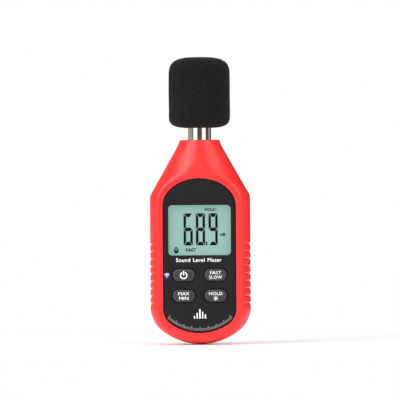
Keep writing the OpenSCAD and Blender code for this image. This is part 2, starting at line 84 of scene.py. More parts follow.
FRONT_LOW, FRONT_HIGH = box_mm("front_shell")
PANEL_LOW, PANEL_HIGH = box_mm("front_panel")
WINDOW_LOW, WINDOW_HIGH = box_mm("display_window")
GLASS_LOW, GLASS_HIGH = box_mm("lcd_glass")
TUBE_LOW, TUBE_HIGH = box_mm("mic_tube")
GRID_LOW, GRID_HIGH = box_mm("mic_grid")
FOAM_LOW, FOAM_HIGH = box_mm("windscreen")
DOOR_LOW, DOOR_HIGH = box_mm("battery_door")
DOOR_SCREW_LOW, DOOR_SCREW_HIGH = box_mm("door_screw")
LABEL_LOW, LABEL_HIGH = box_mm("rating_label")
INSERT_LOW, INSERT_HIGH = box_mm("tripod_insert")
CELL_LOW, CELL_HIGH = box_mm("battery_1")
KEYS = ("button_power", "button_response", "button_max_min", "button_hold")
KEY_FLANGE = 0.8

CASE_HW = FRONT_HIGH.x
CASE_H = FRONT_HIGH.z
FRONT_D = -FRONT_LOW.y
BACK_D = box_mm("rear_shell")[1].y
PANEL_HW = PANEL_HIGH.x
PANEL_TOP = PANEL_HIGH.z
PANEL_Y = PANEL_LOW.y
FLOOR_Y = PANEL_HIGH.y
INSIDE_Y = FLOOR_Y + 1.6
WINDOW_Z = box_middle(WINDOW_LOW, WINDOW_HIGH)[1]
WINDOW_GAP = 0.05
TUBE_R = TUBE_HIGH.x

# ---- outline of the case ----

END_R = 34
END_BLEND_R = 17
SHOULDER_Z = 81.6
SHOULDER_R = 6
NECK_R = 10.9
NECK_BASE_R = 12.1
NECK_BASE_Z = CASE_H - 3.3
TAPER_SLOPE = (CASE_HW - NECK_BASE_R) / (NECK_BASE_Z - SHOULDER_Z)
TAPER_A = atan(TAPER_SLOPE)
SHOULDER_Z0 = SHOULDER_Z - SHOULDER_R * tan(TAPER_A / 2)
SHOULDER_Z1 = SHOULDER_Z0 + SHOULDER_R * sin(TAPER_A)
BORE_R = TUBE_R + 0.05
CAVITY_TOP = CASE_H - 2.9

# Cross-section: flat in the middle, with corners that grow into the neck's circle
CORNER = 9
FRONT_FULL = FRONT_D + 1.3
FRONT_POWER = 2.4
BACK_POWER = 3.2
BACK_FALL_Z = 86
ROUND_Z0 = 85
ROUND_Z1 = 103
WALL = 2.1
SEAM = 0.16
NECK_EDGE = 0.45

# Grip grooves
GROOVES = 9
GROOVE_Z0 = 22.4
GROOVE_PITCH = 4.07
GROOVE_R = 1
GROOVE_DEEP = 0.5
GROOVE_Y_BACK = 9.0
GROOVE_Y_FRONT = 11.3

# Front panel and the rim round it
PANEL_END_R = 27.5
PANEL_BLEND_R = 10
ARCH_H = 14.9
ARCH_Z = PANEL_TOP - ARCH_H
RIM_TURN_Z = 84
RIM_TOP_Z = PANEL_TOP + 1.4
RIM_W = 3.2
RIM_W_APEX = 1.4
RIM_ROUND = 0.6
BEVEL_Y = PANEL_Y - 1.0
POCKET_GAP = 0.2
KEY_GAP = 0.3

# Steps round the outline and from the parting plane to the middle
END_STEPS = 40
CONE_STEPS = 26
NECK_STEPS = 18
PATH_STEPS = 22


def clamp(u):
  return min(max(u, 0.0), 1.0)


def lerp(a, b, t):
  return a + (b - a) * t


def smooth(u):
  u = clamp(u)
  return u * u * (3 - 2 * u)


def polar(x, z, r, a):
  return x + r * cos(a), z + r * sin(a)


def half_width(z):
  """Half width of the case at height z."""
  if z < SHOULDER_Z0:
    return CASE_HW
  if z < SHOULDER_Z1:
    return CASE_HW - SHOULDER_R + sqrt(SHOULDER_R**2 - (z - SHOULDER_Z0) ** 2)
  cone = CASE_HW - (z - SHOULDER_Z) * TAPER_SLOPE
  neck = NECK_BASE_R - (z - NECK_BASE_Z) * (NECK_BASE_R - NECK_R) / (CASE_H - NECK_BASE_Z)
  return max(cone, neck)


def section(z, front):
  """Half width, depth, corner size and corner power of a half section at height z."""
  width = half_width(z)
  if front:
    power = FRONT_POWER
    deep = lerp(FRONT_FULL, FRONT_D, clamp((z - ARCH_Z) / (RIM_TOP_Z - ARCH_Z)))
    deep = lerp(deep, NECK_R, clamp((z - RIM_TOP_Z) / (CASE_H - RIM_TOP_Z)))
  else:
    power = BACK_POWER
    deep = lerp(BACK_D, NECK_R, smooth((z - BACK_FALL_Z) / (CASE_H - BACK_FALL_Z)))
  t = smooth((z - ROUND_Z0) / (ROUND_Z1 - ROUND_Z0))
  return width, deep, min(lerp(CORNER, width, t), width), lerp(power, 2, t)


def on_section(shape, beta):
  """(x, depth) on a half section, at angle beta of its stretched circle."""
  width, deep, corner, power = shape
  c = cos(beta)
  s = sin(beta)
  low = 0.0
  high = 1 / max(abs(c), abs(s))
  for _ in range(30):
    r = (low + high) / 2
    across = max((width * abs(c) * r - (width - corner)) / corner, 0)
    if across**power + (s * r) ** power < 1:
      low = r
    else:
      high = r
  return width * c * high, deep * s * high


def beta_at(shape, x):
  """The angle at which a half section has that x."""
  width, deep, corner, power = shape
  across = clamp((x - (width - corner)) / corner)
  return atan2((1 - across**power) ** (1 / power), x / width)


def groove(z, deep, front):
  """Depth of the grip grooves at a point of the case's side."""
  i = round((z - GROOVE_Z0) / GROOVE_PITCH)
  off = abs(z - GROOVE_Z0 - i * GROOVE_PITCH)
  if not 0 <= i < GROOVES or off >= GROOVE_R:
    return 0.0
  end = GROOVE_Y_FRONT if front else GROOVE_Y_BACK
  cut_in = max(sqrt(GROOVE_R**2 - off**2) - (GROOVE_R - GROOVE_DEEP), 0)
  return cut_in * smooth((end + 0.7 - deep) / 1.6)


def round_end(half_w, end_r, blend_r):
  """A function that gives a round end's point at normal angle a from straight down, grown by g."""
  blend_x = half_w - blend_r
  blend_z = END_R - sqrt((end_r - blend_r) ** 2 - blend_x**2)
  blend_a = asin(blend_x / (end_r - blend_r))

  def point(a, g=0.0):
    if a <= blend_a:
      return Vector(((end_r + g) * sin(a), END_R - (end_r + g) * cos(a)))
    return Vector((blend_x + (blend_r + g) * sin(a), blend_z - (blend_r + g) * cos(a)))

  return point


case_end = round_end(CASE_HW, END_R, END_BLEND_R)
panel_end = round_end(PANEL_HW, PANEL_END_R, PANEL_BLEND_R)


def panel_arch(a, g=0.0):
  return Vector(((PANEL_HW + g) * cos(a), ARCH_Z + (ARCH_H + g) * sin(a)))


def panel_outline(g):
  """The panel's outline, grown by g."""
  half = [panel_end(pi / 2 * i / 30, g) for i in range(31)]
  half += [panel_arch(pi / 2 * i / 36, g) for i in range(37)]
  left = [Vector((-p.x, p.y)) for p in reversed(half[1:-1])]
  return half + left


def side_heights():
  """Heights along the straight side, close together at the grooves."""
  offsets = (-1.0, -0.87, -0.75, -0.55, -0.3, 0, 0.3, 0.55, 0.75, 0.87, 1.0)
  heights = [GROOVE_Z0 + i * GROOVE_PITCH + d for i in range(GROOVES) for d in offsets]
  top = heights[-1]
  return heights + [lerp(top, SHOULDER_Z0, i / 12) for i in range(1, 13)]


def stations():
  """The outline's right half, bottom to top: (kind, value), where the value is an angle or a height."""
  made = [("end", pi / 2 * i / END_STEPS) for i in range(END_STEPS + 1)]
  made += [("side", z) for z in side_heights()]
  cone_top = CASE_H - NECK_EDGE
  made += [("cone", lerp(SHOULDER_Z0, cone_top, i / CONE_STEPS)) for i in range(1, CONE_STEPS + 1)]
  made += [("neck", pi / 2 * i / NECK_STEPS) for i in range(NECK_STEPS + 1)]
  return made


def case_point(kind, value, g=0.0):
  """A point of the case's outline in the parting plane."""
  if kind == "end":
    return case_end(value, g)
  if kind == "neck":
    return Vector((NECK_R * cos(value), CASE_H))
  return Vector((half_width(value) + g, value))


def rim_angle(kind, value):
  """The angle on the panel's arch that a station of the cone or neck leads to."""
  start = asin((RIM_TURN_Z - ARCH_Z) / (ARCH_H + RIM_W))
  split = lerp(start, pi / 2, 0.65)
  if kind == "neck":
    return lerp(split, pi / 2, value / (pi / 2))
  return lerp(start, split, (value - RIM_TURN_Z) / (CASE_H - RIM_TURN_Z))


def rim_point(kind, value, g):
  """The point that a station leads to, g outside the panel."""
  if kind == "end":
    return panel_end(value, g)
  if kind == "neck" or value > RIM_TURN_Z:
    return panel_arch(rim_angle(kind, value), g)
  if value > ARCH_Z:
    return panel_arch(asin((value - ARCH_Z) / (ARCH_H + RIM_W)), g)
  return Vector((PANEL_HW + g, value))


def rim_width(kind, value):
  """The rim narrows towards the top of the arch."""
  if kind != "neck" and (kind != "cone" or value < RIM_TURN_Z):
    return RIM_W
  return lerp(RIM_W, RIM_W_APEX, smooth((degrees(rim_angle(kind, value)) - 45) / 45))


def flat_point(kind, value):
  """The point where a station's path reaches the flat back."""
  if kind == "end":
    return case_end(value, -CORNER)
  x_top = half_width(BACK_FALL_Z) - section(BACK_FALL_Z, False)[2]
  if kind == "neck":
    return Vector((lerp(x_top * 0.4, 0, value / (pi / 2)), BACK_FALL_Z))
  if value <= BACK_FALL_Z:
    return Vector((half_width(value) - section(value, False)[2], value))
  t = (value - BACK_FALL_Z) / (CASE_H - BACK_FALL_Z)
  return Vector((lerp(x_top, x_top * 0.4, t), BACK_FALL_Z))


def neck_edge(angle):
  """Points round the neck's mouth, from inside its bore to its outside."""
  mouth = [(BORE_R, CAVITY_TOP), (BORE_R, CASE_H), (NECK_R - NECK_EDGE, CASE_H)]
  mouth += [(NECK_R - 0.12, CASE_H - 0.13), (NECK_R, CASE_H - NECK_EDGE)]
  return [(*polar(0, 0, r, angle), z) for r, z in mouth]


def parting_edge(kind, value, start):
  """Points from inside the wall, over the parting plane and its seam, to the outside."""
  if kind == "cone" and value > NECK_BASE_Z - 1:
    t = (value - NECK_BASE_Z + 1) / (CASE_H - NECK_BASE_Z + 1)
    within = Vector((lerp(half_width(value) - WALL, BORE_R, t), value))
    below = Vector((within.x, lerp(value - 1, CAVITY_TOP, t)))
  else:
    within = case_point(kind, value, -WALL)
    below = within
  lip = case_point(kind, value, -SEAM)
  return [
    (below.x, 1.0, below.y),
    (within.x, 0, within.y),
    (lip.x, 0, lip.y),
    (lerp(lip.x, start.x, 0.7), SEAM * 0.3, lerp(lip.y, start.y, 0.7)),
    (start.x, SEAM, start.y),
  ]


def shell_path(kind, value, inner, front, end_gap):
  """Points (x, depth, z) from the parting plane, over the outside, to the inner point."""
  start = case_point(kind, value)
  if kind == "neck":
    path = neck_edge(value)
  else:
    path = parting_edge(kind, value, start)
  straight = kind in ("end", "side")
  if straight:
    body = section(END_R, front)
    reach = (inner - start).length
    last = beta_at(body, CASE_HW - reach)
  else:
    last = beta_at(section(inner.y, front), inner.x)
  first = value if kind == "neck" else 0.0
  for i in range(1, PATH_STEPS + 1):
    t = i / PATH_STEPS * (1 - end_gap)
    beta = lerp(first, last, t)
    if straight:
      x, deep = on_section(body, beta)
      across = start.lerp(inner, (CASE_HW - x) / reach)
      path.append((across.x, deep, across.y))
    else:
      z = lerp(min(start.y, CASE_H - NECK_EDGE), inner.y, t)
      x, deep = on_section(section(z, front), beta)
      path.append((x, deep, z))
  if kind == "side":
    outside = path[2:]
    path[2:] = [(x - groove(value, deep, front), deep, z) for x, deep, z in outside]
  return path


def bezier(a, b, c, steps):
  """Points of a quadratic curve from a past b to c, without a itself."""
  made = []
  for i in range(1, steps + 1):
    t = i / steps
    made.append(a.lerp(b, t).lerp(b.lerp(c, t), t))
  return made


# ---- mesh helpers ----

SHARP = 38
CASE_SHARP = 42
PLATE_SHARP = 50


def add_object(name, data):
  made = bpy.data.objects.new(name, data)
  bpy.context.scene.collection.objects.link(made)
  return made


def store(name, bm, sharp=SHARP, weld=0.0005):
  """A new object from a mesh in mm: welded, facing outwards and smooth between sharp edges."""
  bmesh.ops.remove_doubles(bm, verts=bm.verts, dist=weld)
  bmesh.ops.dissolve_degenerate(bm, edges=bm.edges, dist=weld / 5)
  bmesh.ops.recalc_face_normals(bm, faces=bm.faces)
  bmesh.ops.scale(bm, vec=(MM, MM, MM), verts=bm.verts)
  mesh = bpy.data.meshes.new(name)
  bm.to_mesh(mesh)
  bm.free()
  mesh.shade_smooth()
  mesh.set_sharp_from_angle(angle=radians(sharp))
  return add_object(name, mesh)


def add_ring(bm, points):
  return [bm.verts.new(p) for p in points]


def bridge(bm, a, b):
  """Quads between two closed rings of the same length."""
  for i in range(len(a)):
    j = (i + 1) % len(a)
    bm.faces.new((a[i], a[j], b[j], b[i]))


def loft(bm, rings):
  """Quads from each ring to the next."""
  for a, b in zip(rings, rings[1:]):
    bridge(bm, a, b)


def fill(bm, rings):
  """A flat face in a ring, or one in XZ between an outer ring and those inside it."""
  if len(rings) == 1:
    bm.faces.new(rings[0])
    return
  verts = []
  flat = []
  loops = []
  for ring in rings:
    points = [Vector((v.co.x, v.co.z)) for v in ring]
    area = sum(a.cross(b) for a, b in zip(points, points[1:] + points[:1]))
    loop = list(range(len(verts), len(verts) + len(ring)))
    loops.append(loop if area > 0 else loop[::-1])
    verts += ring
    flat += points
  made = delaunay_2d_cdt(flat, [], loops, 1, 1e-6)
  for face, within in zip(made[2], made[5]):
    if within == [0]:
      bm.faces.new([verts[made[3][i][0]] for i in face])


def solid(bm, rings):
  """A body from ring to ring, with flat ends."""
  loft(bm, rings)
  fill(bm, [rings[0]])
  fill(bm, [rings[-1]])


def in_xz(points, y):
  return [(p[0], y, p[1]) for p in points]


def in_xy(points, z):
  return [(p[0], p[1], z) for p in points]


def oval(x, z, rx, rz, steps):
  angles = [2 * pi * i / steps for i in range(steps)]
  return [(x + rx * cos(a), z + rz * sin(a)) for a in angles]


def circle(x, z, r, steps=40):
  """A function that gives a circle, grown by g."""
  return lambda g=0: oval(x, z, r + g, r + g, steps)


def round_rect(x, z, w, h, r, steps=8):
  """A function that gives a rounded rectangle, grown by g."""

  def points(g=0):
    made = []
    for quarter, (sx, sz) in enumerate(((1, 1), (-1, 1), (-1, -1), (1, -1))):
      middle = (x + sx * (w / 2 - r), z + sz * (h / 2 - r))
      for i in range(steps + 1):
        made.append(polar(*middle, r + g, pi / 2 * (quarter + i / steps)))
    return made

  return points


def box_rect(low, high, r, grow=0.0):
  """A rounded rectangle round a box in XZ."""
  return round_rect(*box_middle(low, high), high.x - low.x + grow, high.z - low.z + grow, r)


def window_rect(grow, r):
  """A rounded rectangle round the window's hole."""
  return box_rect(WINDOW_LOW, WINDOW_HIGH, r, 2 * WINDOW_GAP + grow)


def key_outline(node, grow=0.0):
  """The pill of a key in front of its flange, with room round it."""
  low, high = box_mm(node)
  w = high.x - low.x - 2 * KEY_FLANGE + 2 * grow
  h = high.z - low.z - 2 * KEY_FLANGE + 2 * grow
  return round_rect(*box_middle(low, high), w, h, h / 2, 14)


def key_holes():
  return [key_outline(node, KEY_GAP) for node in KEYS]


def round_edge(y, r, steps=5):
  """(shrink, y) pairs of an edge rounded by r, from the flat face at y to the side."""
  made = []
  for i in range(steps + 1):
    a = pi / 2 * i / steps
    made.append((r * (1 - sin(a)), y + r * (1 - cos(a))))
  return made


def plate(bm, outer, holes, profile):
  """A plate in XZ with holes: profile holds (shrink, y) pairs from front to back."""
  loops = []
  for outline, sign in [(outer, -1)] + [(hole, 1) for hole in holes]:
    rings = [add_ring(bm, in_xz(outline(sign * shrink), y)) for shrink, y in profile]
    loft(bm, rings)
    loops.append(rings)
  fill(bm, [rings[0] for rings in loops])
  fill(bm, [rings[-1] for rings in loops])


def turned(name, profile, steps):
  """A hollow body turned about Z from closed (radius, height) pairs."""
  bm = bmesh.new()
  rings = [add_ring(bm, in_xy(circle(0, 0, r, steps)(), z)) for r, z in profile]
  loft(bm, rings + rings[:1])
  return store(name, bm)


def combine(obj, builds, operation="DIFFERENCE", sharp=SHARP):
  """Cuts closed meshes out of an object, or joins them to it."""
  for build in builds:
    bm = bmesh.new()
    build(bm)
    tool = store("tool", bm)
    change = obj.modifiers.new("combine", "BOOLEAN")
    change.operation = operation
    change.solver = "EXACT"
    change.object = tool
    graph = bpy.context.evaluated_depsgraph_get()
    mesh = bpy.data.meshes.new_from_object(obj.evaluated_get(graph))
    old = obj.data
    obj.modifiers.clear()
    obj.data = mesh
    bpy.data.meshes.remove(old)
    bpy.data.objects.remove(tool)
  obj.data.shade_smooth()
  obj.data.set_sharp_from_angle(angle=radians(sharp))


def prism(bm, points, x0, x1):
  """A body with this outline in YZ, from x0 to x1."""
  solid(bm, [add_ring(bm, [(x, y, z) for y, z in points]) for x in (x0, x1)])


def place(obj, look, *nodes):
  """An object with its body and finish, which may stand for CAD nodes; the look's slot is not used."""
  body, slot, finish = look
  obj.data.materials.clear()
  obj.data.materials.append(finish)
  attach(obj, body)
  if nodes:
    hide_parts(*nodes)
  return obj


def plate_piece(name, look, node, outline, holes, profile, sharp=SHARP):
  """A plate that stands for a CAD node."""
  bm = bmesh.new()
  plate(bm, outline, holes, profile)
  place(store(name, bm, sharp), look, node)


# ---- materials ----


def feed(tree, socket, value):
  """Links an input to another socket, or sets its value."""
  if isinstance(value, bpy.types.NodeSocket):
    tree.links.new(value, socket)
  else:
    socket.default_value = value


def add_node(tree, kind, out, inputs, **settings):
  """An output of a new node with these inputs and settings."""
  made = tree.nodes.new("ShaderNode" + kind)
  for key, value in settings.items():
    setattr(made, key, value)
  for key, value in inputs.items():
    feed(tree, made.inputs[key], value)
  return made.outputs[out]


class Paint:
  """A node material on one Principled shader, built a step at a time."""

  def __init__(self, name, rough, metal=0.0):
    self.material = bpy.data.materials.new(name)
    self.material.use_nodes = True
    self.tree = self.material.node_tree
    self.shader = self.tree.nodes["Principled BSDF"]
    self.place = self.node("TexCoord", "Object", {})
    self.set(Metallic=metal, Roughness=rough)

  def node(self, kind, out, inputs, **settings):
    return add_node(self.tree, kind, out, inputs, **settings)

  def set(self, **values):
    """Values or sources for the shader's inputs."""
    for key, value in values.items():
      feed(self.tree, self.shader.inputs[key.replace("_", " ")], value)
    return self

  def mapped(self, **change):
    """Object coordinates, scaled or turned."""
    return self.node("Mapping", "Vector", {"Vector": self.place, **change})

  def noise(self, scale, detail=4.0, where=None, rough=0.5):
    inputs = {"Scale": scale, "Detail": detail, "Roughness": rough}
    return self.node("TexNoise", "Fac", {"Vector": where or self.place, **inputs})

  def ramp(self, source, stops):
    """Colours along a source: stops holds (place, colour) pairs."""
    made = self.node("ValToRGB", "Color", {"Fac": source})
    elements = made.node.color_ramp.elements
    for i in (0, -1):
      elements[i].position = stops[i][0]
      elements[i].color = (*stops[i][1], 1)
    for position, colour in stops[1:-1]:
      elements.new(position).color = (*colour, 1)
    return made

  def spread(self, source, low, high, start=0.3, end=0.7):
    """A source's range turned into another range of numbers."""
    ends = {"From Min": start, "From Max": end, "To Min": low, "To Max": high}
    return self.node("MapRange", "Result", {"Value": source, **ends})

  def mix(self, share, a, b):
    return self.node("Mix", "Result", {"Factor": share, "A": a, "B": b}, data_type="RGBA")

  def times(self, a, b):
    return self.node("Math", "Value", {0: a, 1: b}, operation="MULTIPLY")

  def tint(self, colour, amount=0.06, scale=70.0):
    """A base colour that wanders a little over the surface."""
    low = tuple(c * (1 - amount) for c in colour)
    high = tuple(min(c * (1 + amount), 1) for c in colour)
    return self.set(Base_Color=self.ramp(self.noise(scale), [(0.35, low), (0.65, high)]))

  def gloss(self, low, high, scale=400.0):
    """Roughness that wanders between two values."""
    return self.set(Roughness=self.spread(self.noise(scale), low, high))

  def relief(self, source, height, strength=0.5):
    """Surface relief, its height in millimetres."""
    inputs = {"Strength": strength, "Distance": height * MM, "Height": source}
    return self.set(Normal=self.node("Bump", "Normal", inputs))

  def worn(self, colour, most=0.4, polish=0.3, reach=0.35):
    """Edges within reach (mm) rubbed lighter and smoother, in broken patches."""
    rounded = self.node("Bevel", "Normal", {"Radius": reach * MM}, samples=4)
    flat = self.node("NewGeometry", "Normal", {})
    agree = self.node("VectorMath", "Value", {0: rounded, 1: flat}, operation="DOT_PRODUCT")
    patches = self.spread(self.noise(900, 5), 0.15, 1, 0.4, 0.6)
    edge = self.times(self.spread(agree, most, 0, 0.75, 0.985), patches)
    base = self.shader.inputs["Base Color"].links[0].from_socket
    rough = self.shader.inputs["Roughness"].links[0].from_socket
    smoother = self.spread(edge, 1, 1 - polish, 0, most)
    return self.set(Base_Color=self.mix(edge, base, (*colour, 1)), Roughness=self.times(rough, smoother))


def moulded(name, rough, colour, tint, gloss, grain, wear, shine=0.5):
  """A moulded or printed surface: grain holds its scale, detail, height and strength."""
  p = Paint(name, rough)
  p.tint(colour, *tint).gloss(*gloss)
  p.relief(p.noise(*grain[:2]), *grain[2:]).worn(*wear)
  return p.set(Specular_IOR_Level=shine).material


def print_ink(name, colour, rough=0.45, shine=0.5):
  """Screen-printed ink, slightly uneven in density."""
  gloss = (rough - 0.08, rough + 0.08, 1200)
  wear = (tuple(c * 0.8 for c in colour), 0.3, 0.1, 0.03)
  return moulded(name, rough, colour, (0.07, 900), gloss, (5200, 2, 0.004, 0.4), wear, shine)


def display_film_painted_glow():
  """Reflective display backing behind its polariser, with a painted glow: its emission brightens it and
  washes out the shade along the window's edges.
  """
  p = Paint("display_film_painted_glow", 0.35)
  bands = p.noise(260, 2, p.mapped(Scale=(1, 1, 0.02)))
  p.set(Base_Color=p.ramp(bands, [(0.3, (0.1, 0.17, 0.16)), (0.7, (0.115, 0.19, 0.178))]))
  p.relief(p.noise(9000, 2), 0.003, 0.3)
  # painted glow: emission that brightens the display film, though nothing lights it from behind
  p.set(Emission_Color=(0.237, 0.335, 0.318, 1), Emission_Strength=1.0)
  return p.gloss(0.28, 0.4, 900).material


def clear_window():
  """Clear moulded window: light passes straight through, and its outer faces shine."""
  p = Paint("clear_window", 0.06)
  p.tint((0.5, 0.56, 0.55), 0.04, 90)
  p.gloss(0.03, 0.09, 200)
  fresnel = p.node("Fresnel", "Fac", {"IOR": 1.2})
  behind = p.node("NewGeometry", "Backfacing", {})
  shine = p.node("Mix", "Result", {"Factor": behind, "A": fresnel, "B": 0})
  through = p.node("BsdfTransparent", "BSDF", {"Color": (0.93, 0.97, 0.96, 1)})
  both = p.node("MixShader", "Shader", {"Fac": shine, 1: through, 2: p.shader.outputs["BSDF"]})
  feed(p.tree, p.tree.nodes["Material Output"].inputs["Surface"], both)
  return p.material


def foam():
  """Open-cell foam: pits between struts, with painted shade darkening the pits and painted light
  brightening the strut tops.
  """
  p = Paint("foam_black", 0.95)
  pits = p.node("TexVoronoi", "Distance", {"Vector": p.place, "Scale": 2300})
  grain = p.noise(3600, 5, rough=0.75)
  height = p.mix(p.spread(grain, 0.0, 0.5), pits, grain)
  # painted shade and painted light: colour darkest in the pits and lightest on the strut tops
  pit_shade, strut, top = (0.001, 0.001, 0.001), (0.0046, 0.0044, 0.0042), (0.015, 0.0145, 0.0138)
  p.set(Base_Color=p.ramp(height, [(0.15, pit_shade), (0.45, strut), (0.75, top)]))
  p.set(Roughness=p.spread(grain, 0.85, 1.0))
  p.relief(height, 0.4, 1.0)
  return p.set(Specular_IOR_Level=0.12, Sheen_Weight=0.03, Sheen_Roughness=0.5).material


def metal(name, colour, low, high, stretch=(1, 1, 1), grain=900, height=0.004):
  """Bare or plated metal with fine tooling marks along one way."""
  p = Paint(name, low, 1.0)
  p.tint(colour, 0.04, 160)
  marks = p.noise(grain, 3, p.mapped(Scale=stretch))
  p.set(Roughness=p.spread(marks, low, high))
  p.worn(tuple(min(c * 1.25, 1) for c in colour), 0.5, 0.2, 0.2)
  return p.relief(marks, height, 0.25).material


def plain_plastic(name, colour, rough, amount=0.08, grain=4000):
  """Moulded plastic or rubber with a fine grain."""
  gloss = (rough - 0.07, rough + 0.07, 600)
  wear = (tuple(c * 1.5 + 0.01 for c in colour), 0.4)
  return moulded(name, rough, colour, (amount, 150), gloss, (grain, 3, 0.01, 0.4), wear)


def circuit_board():
  """Green solder mask over faint copper tracks."""
  p = Paint("circuit_board", 0.35)
  bricks = {
    "Vector": p.mapped(Rotation=(pi / 2, 0, 0)),
    "Scale": 260,
    "Mortar Size": 0.06,
    "Color1": (0.012, 0.12, 0.045, 1),
    "Color2": (0.014, 0.135, 0.05, 1),
    "Mortar": (0.03, 0.2, 0.08, 1),
  }
  tracks = p.node("TexBrick", "Color", bricks, offset=0.5)
  p.set(Base_Color=tracks).gloss(0.25, 0.4, 700).worn((0.2, 0.24, 0.12), 0.5)
  return p.relief(tracks.node.outputs["Fac"], 0.02, 0.3).material


def cell_wrap(name, button_up):
  """Battery sleeve: a copper band at its button end, bare metal at both ends."""
  p = Paint(name, 0.3, 0.6)
  z = p.node("SeparateXYZ", "Z", {"Vector": p.place})
  flat_end, button = (0, 1) if button_up else (1, 0)
  height = p.spread(z, flat_end, button, CELL_LOW.z * MM, CELL_HIGH.z * MM)
  steel, blue, copper = (0.5, 0.5, 0.48), (0.03, 0.05, 0.1), (0.52, 0.38, 0.17)
  stops = [(0.0, steel), (0.012, steel), (0.018, blue), (0.66, blue)]
  stops += [(0.675, copper), (0.955, copper), (0.965, steel), (1.0, steel)]
  p.set(Base_Color=p.ramp(height, stops)).gloss(0.22, 0.36, 500).worn((0.45, 0.42, 0.38), 0.4)
  return p.relief(p.noise(900, 2), 0.01, 0.3).material


RED = moulded(
  "red_plastic", 0.34, (0.8, 0.0185, 0.017), tint=(0.05, 45), gloss=(0.33, 0.42, 260),
  grain=(5200, 3, 0.008, 0.35), wear=((0.86, 0.09, 0.08), 0.4), shine=0.45,
)
PANEL = moulded(
  "panel_plastic", 0.5, (0.0052, 0.0052, 0.0056), tint=(0.14, 60), gloss=(0.44, 0.58, 500),
  grain=(6500, 3, 0.012, 0.5), wear=((0.05, 0.05, 0.05), 0.5), shine=0.24,
)
KEY = moulded(
  "key_rubber", 0.55, (0.0235, 0.0235, 0.0255), tint=(0.12, 220), gloss=(0.42, 0.6, 700),
  grain=(7000, 3, 0.014, 0.5), wear=((0.09, 0.09, 0.092), 0.45), shine=0.45,
)
WHITE_INK = print_ink("white_ink", (0.82, 0.82, 0.81))
GREY_INK = print_ink("grey_ink", (0.26, 0.26, 0.265))
BLUE_INK = print_ink("blue_ink", (0.012, 0.016, 0.14))
SEGMENT_INK = print_ink("segment_ink", (0.001, 0.002, 0.002), 0.6, 0.05)
DISPLAY = display_film_painted_glow()
WINDOW = clear_window()
FOAM = foam()
POLISHED = metal("polished_steel", (0.9, 0.79, 0.7), 0.06, 0.1, (1, 1, 40), 300, 0.002)
GRID_METAL = metal("grid_metal", (0.58, 0.56, 0.54), 0.18, 0.3, (1, 1, 8), 900)
STEEL = metal("plain_steel", (0.5, 0.5, 0.49), 0.22, 0.38, (4, 1, 1), 1400)
BRASS = metal("brass", (0.62, 0.42, 0.16), 0.2, 0.34, (1, 6, 1), 1200)
CAPSULE = metal("capsule_gold", (0.6, 0.48, 0.24), 0.16, 0.28)
BLACK_PLASTIC = plain_plastic("black_plastic", (0.012, 0.012, 0.013), 0.45)
BLACK_RUBBER = plain_plastic("black_rubber", (0.01, 0.01, 0.01), 0.65)
WHITE_PLASTIC = plain_plastic("white_plastic", (0.55, 0.55, 0.52), 0.4)
SILICONE = plain_plastic("silicone", (0.38, 0.38, 0.36), 0.5)
CERAMIC = plain_plastic("components", (0.3, 0.24, 0.16), 0.4, 0.25)
CHIP = plain_plastic("chip_black", (0.01, 0.01, 0.011), 0.42)
LABEL = plain_plastic("label_film", (0.5, 0.5, 0.5), 0.35, 0.03, 900)
BOARD = circuit_board()
CELL = cell_wrap("cell_wrap", True)
CELL_TURNED = cell_wrap("cell_wrap_turned", False)

# (body, slot, finish) of the looks that pieces share
CASE_RED = ("case", "case_red", RED)
DISPLAY_BACK = ("case", "display", DISPLAY)
DISPLAY_INK = ("case", "display", SEGMENT_INK)
PANEL_WHITE = ("case", "panel_grey", WHITE_INK)


# ---- case ----


def shell_rings(bm, path_of, side):
  """Rings round the case from each station's path and its mirror image."""
  paths = [path_of(*station) for station in stations()]
  rings = []
  for k in range(len(paths[0])):
    right = [(path[k][0], side * path[k][1], path[k][2]) for path in paths]
    right[0] = (0, right[0][1], right[0][2])
    right[-1] = (0, right[-1][1], right[-1][2])
    left = [(-x, y, z) for x, y, z in reversed(right[1:-1])]
    rings.append(add_ring(bm, right + left))
  return rings


def inner_wall(kind, value, deep):
  """A point on the inside of the wall, at that depth from the parting plane."""
  if kind == "neck":
    return (*polar(0, 0, TUBE_R + 1.8, value), CAVITY_TOP - 5)
  point = case_point(kind, value, -WALL - 0.5)
  if kind == "cone":
    shape = section(value, False)
    deep *= lerp(1, 0.6, clamp((value - SHOULDER_Z0) / (CASE_H - SHOULDER_Z0)))
    point.x = min(point.x, on_section(shape, radians(40))[0] - WALL)
  return (point.x, deep, min(point.y, CAVITY_TOP - 4))


def front_path(kind, value):
  """A station's points from inside, round the parting edge and the rim, to the pocket."""
  start = case_point(kind, value)
  rim = rim_point(kind, value, rim_width(kind, value))
  span = (Vector((*start, 0)) - Vector((*rim, FRONT_D))).length
  path = shell_path(kind, value, rim, True, RIM_ROUND / span)
  if kind in ("end", "side"):
    shape = section(END_R, True)
    x = CASE_HW - (rim - start).length
  else:
    shape = section(rim.y, True)
    x = rim.x
  ridge = Vector((rim.x, on_section(shape, beta_at(shape, x))[1], rim.y))
  foot = rim_point(kind, value, POCKET_GAP + 0.3)
  foot = Vector((foot.x, -BEVEL_Y, foot.y))
  after = ridge.lerp(foot, min(RIM_ROUND / (foot - ridge).length, 0.4))
  path += [tuple(p) for p in bezier(Vector(path[-1]), ridge, after, 5)]
  path += [tuple(after.lerp(foot, 0.5)), tuple(foot)]
  for g, y in ((0.09, BEVEL_Y + 0.05), (0, BEVEL_Y + 0.3), (0, FLOOR_Y)):
    edge = rim_point(kind, value, POCKET_GAP + g)
    path.append((edge.x, -y, edge.y))
  under = rim_point(kind, value, 1.5)
  return [(under.x, -INSIDE_Y, under.y), inner_wall(kind, value, 6.5)] + path


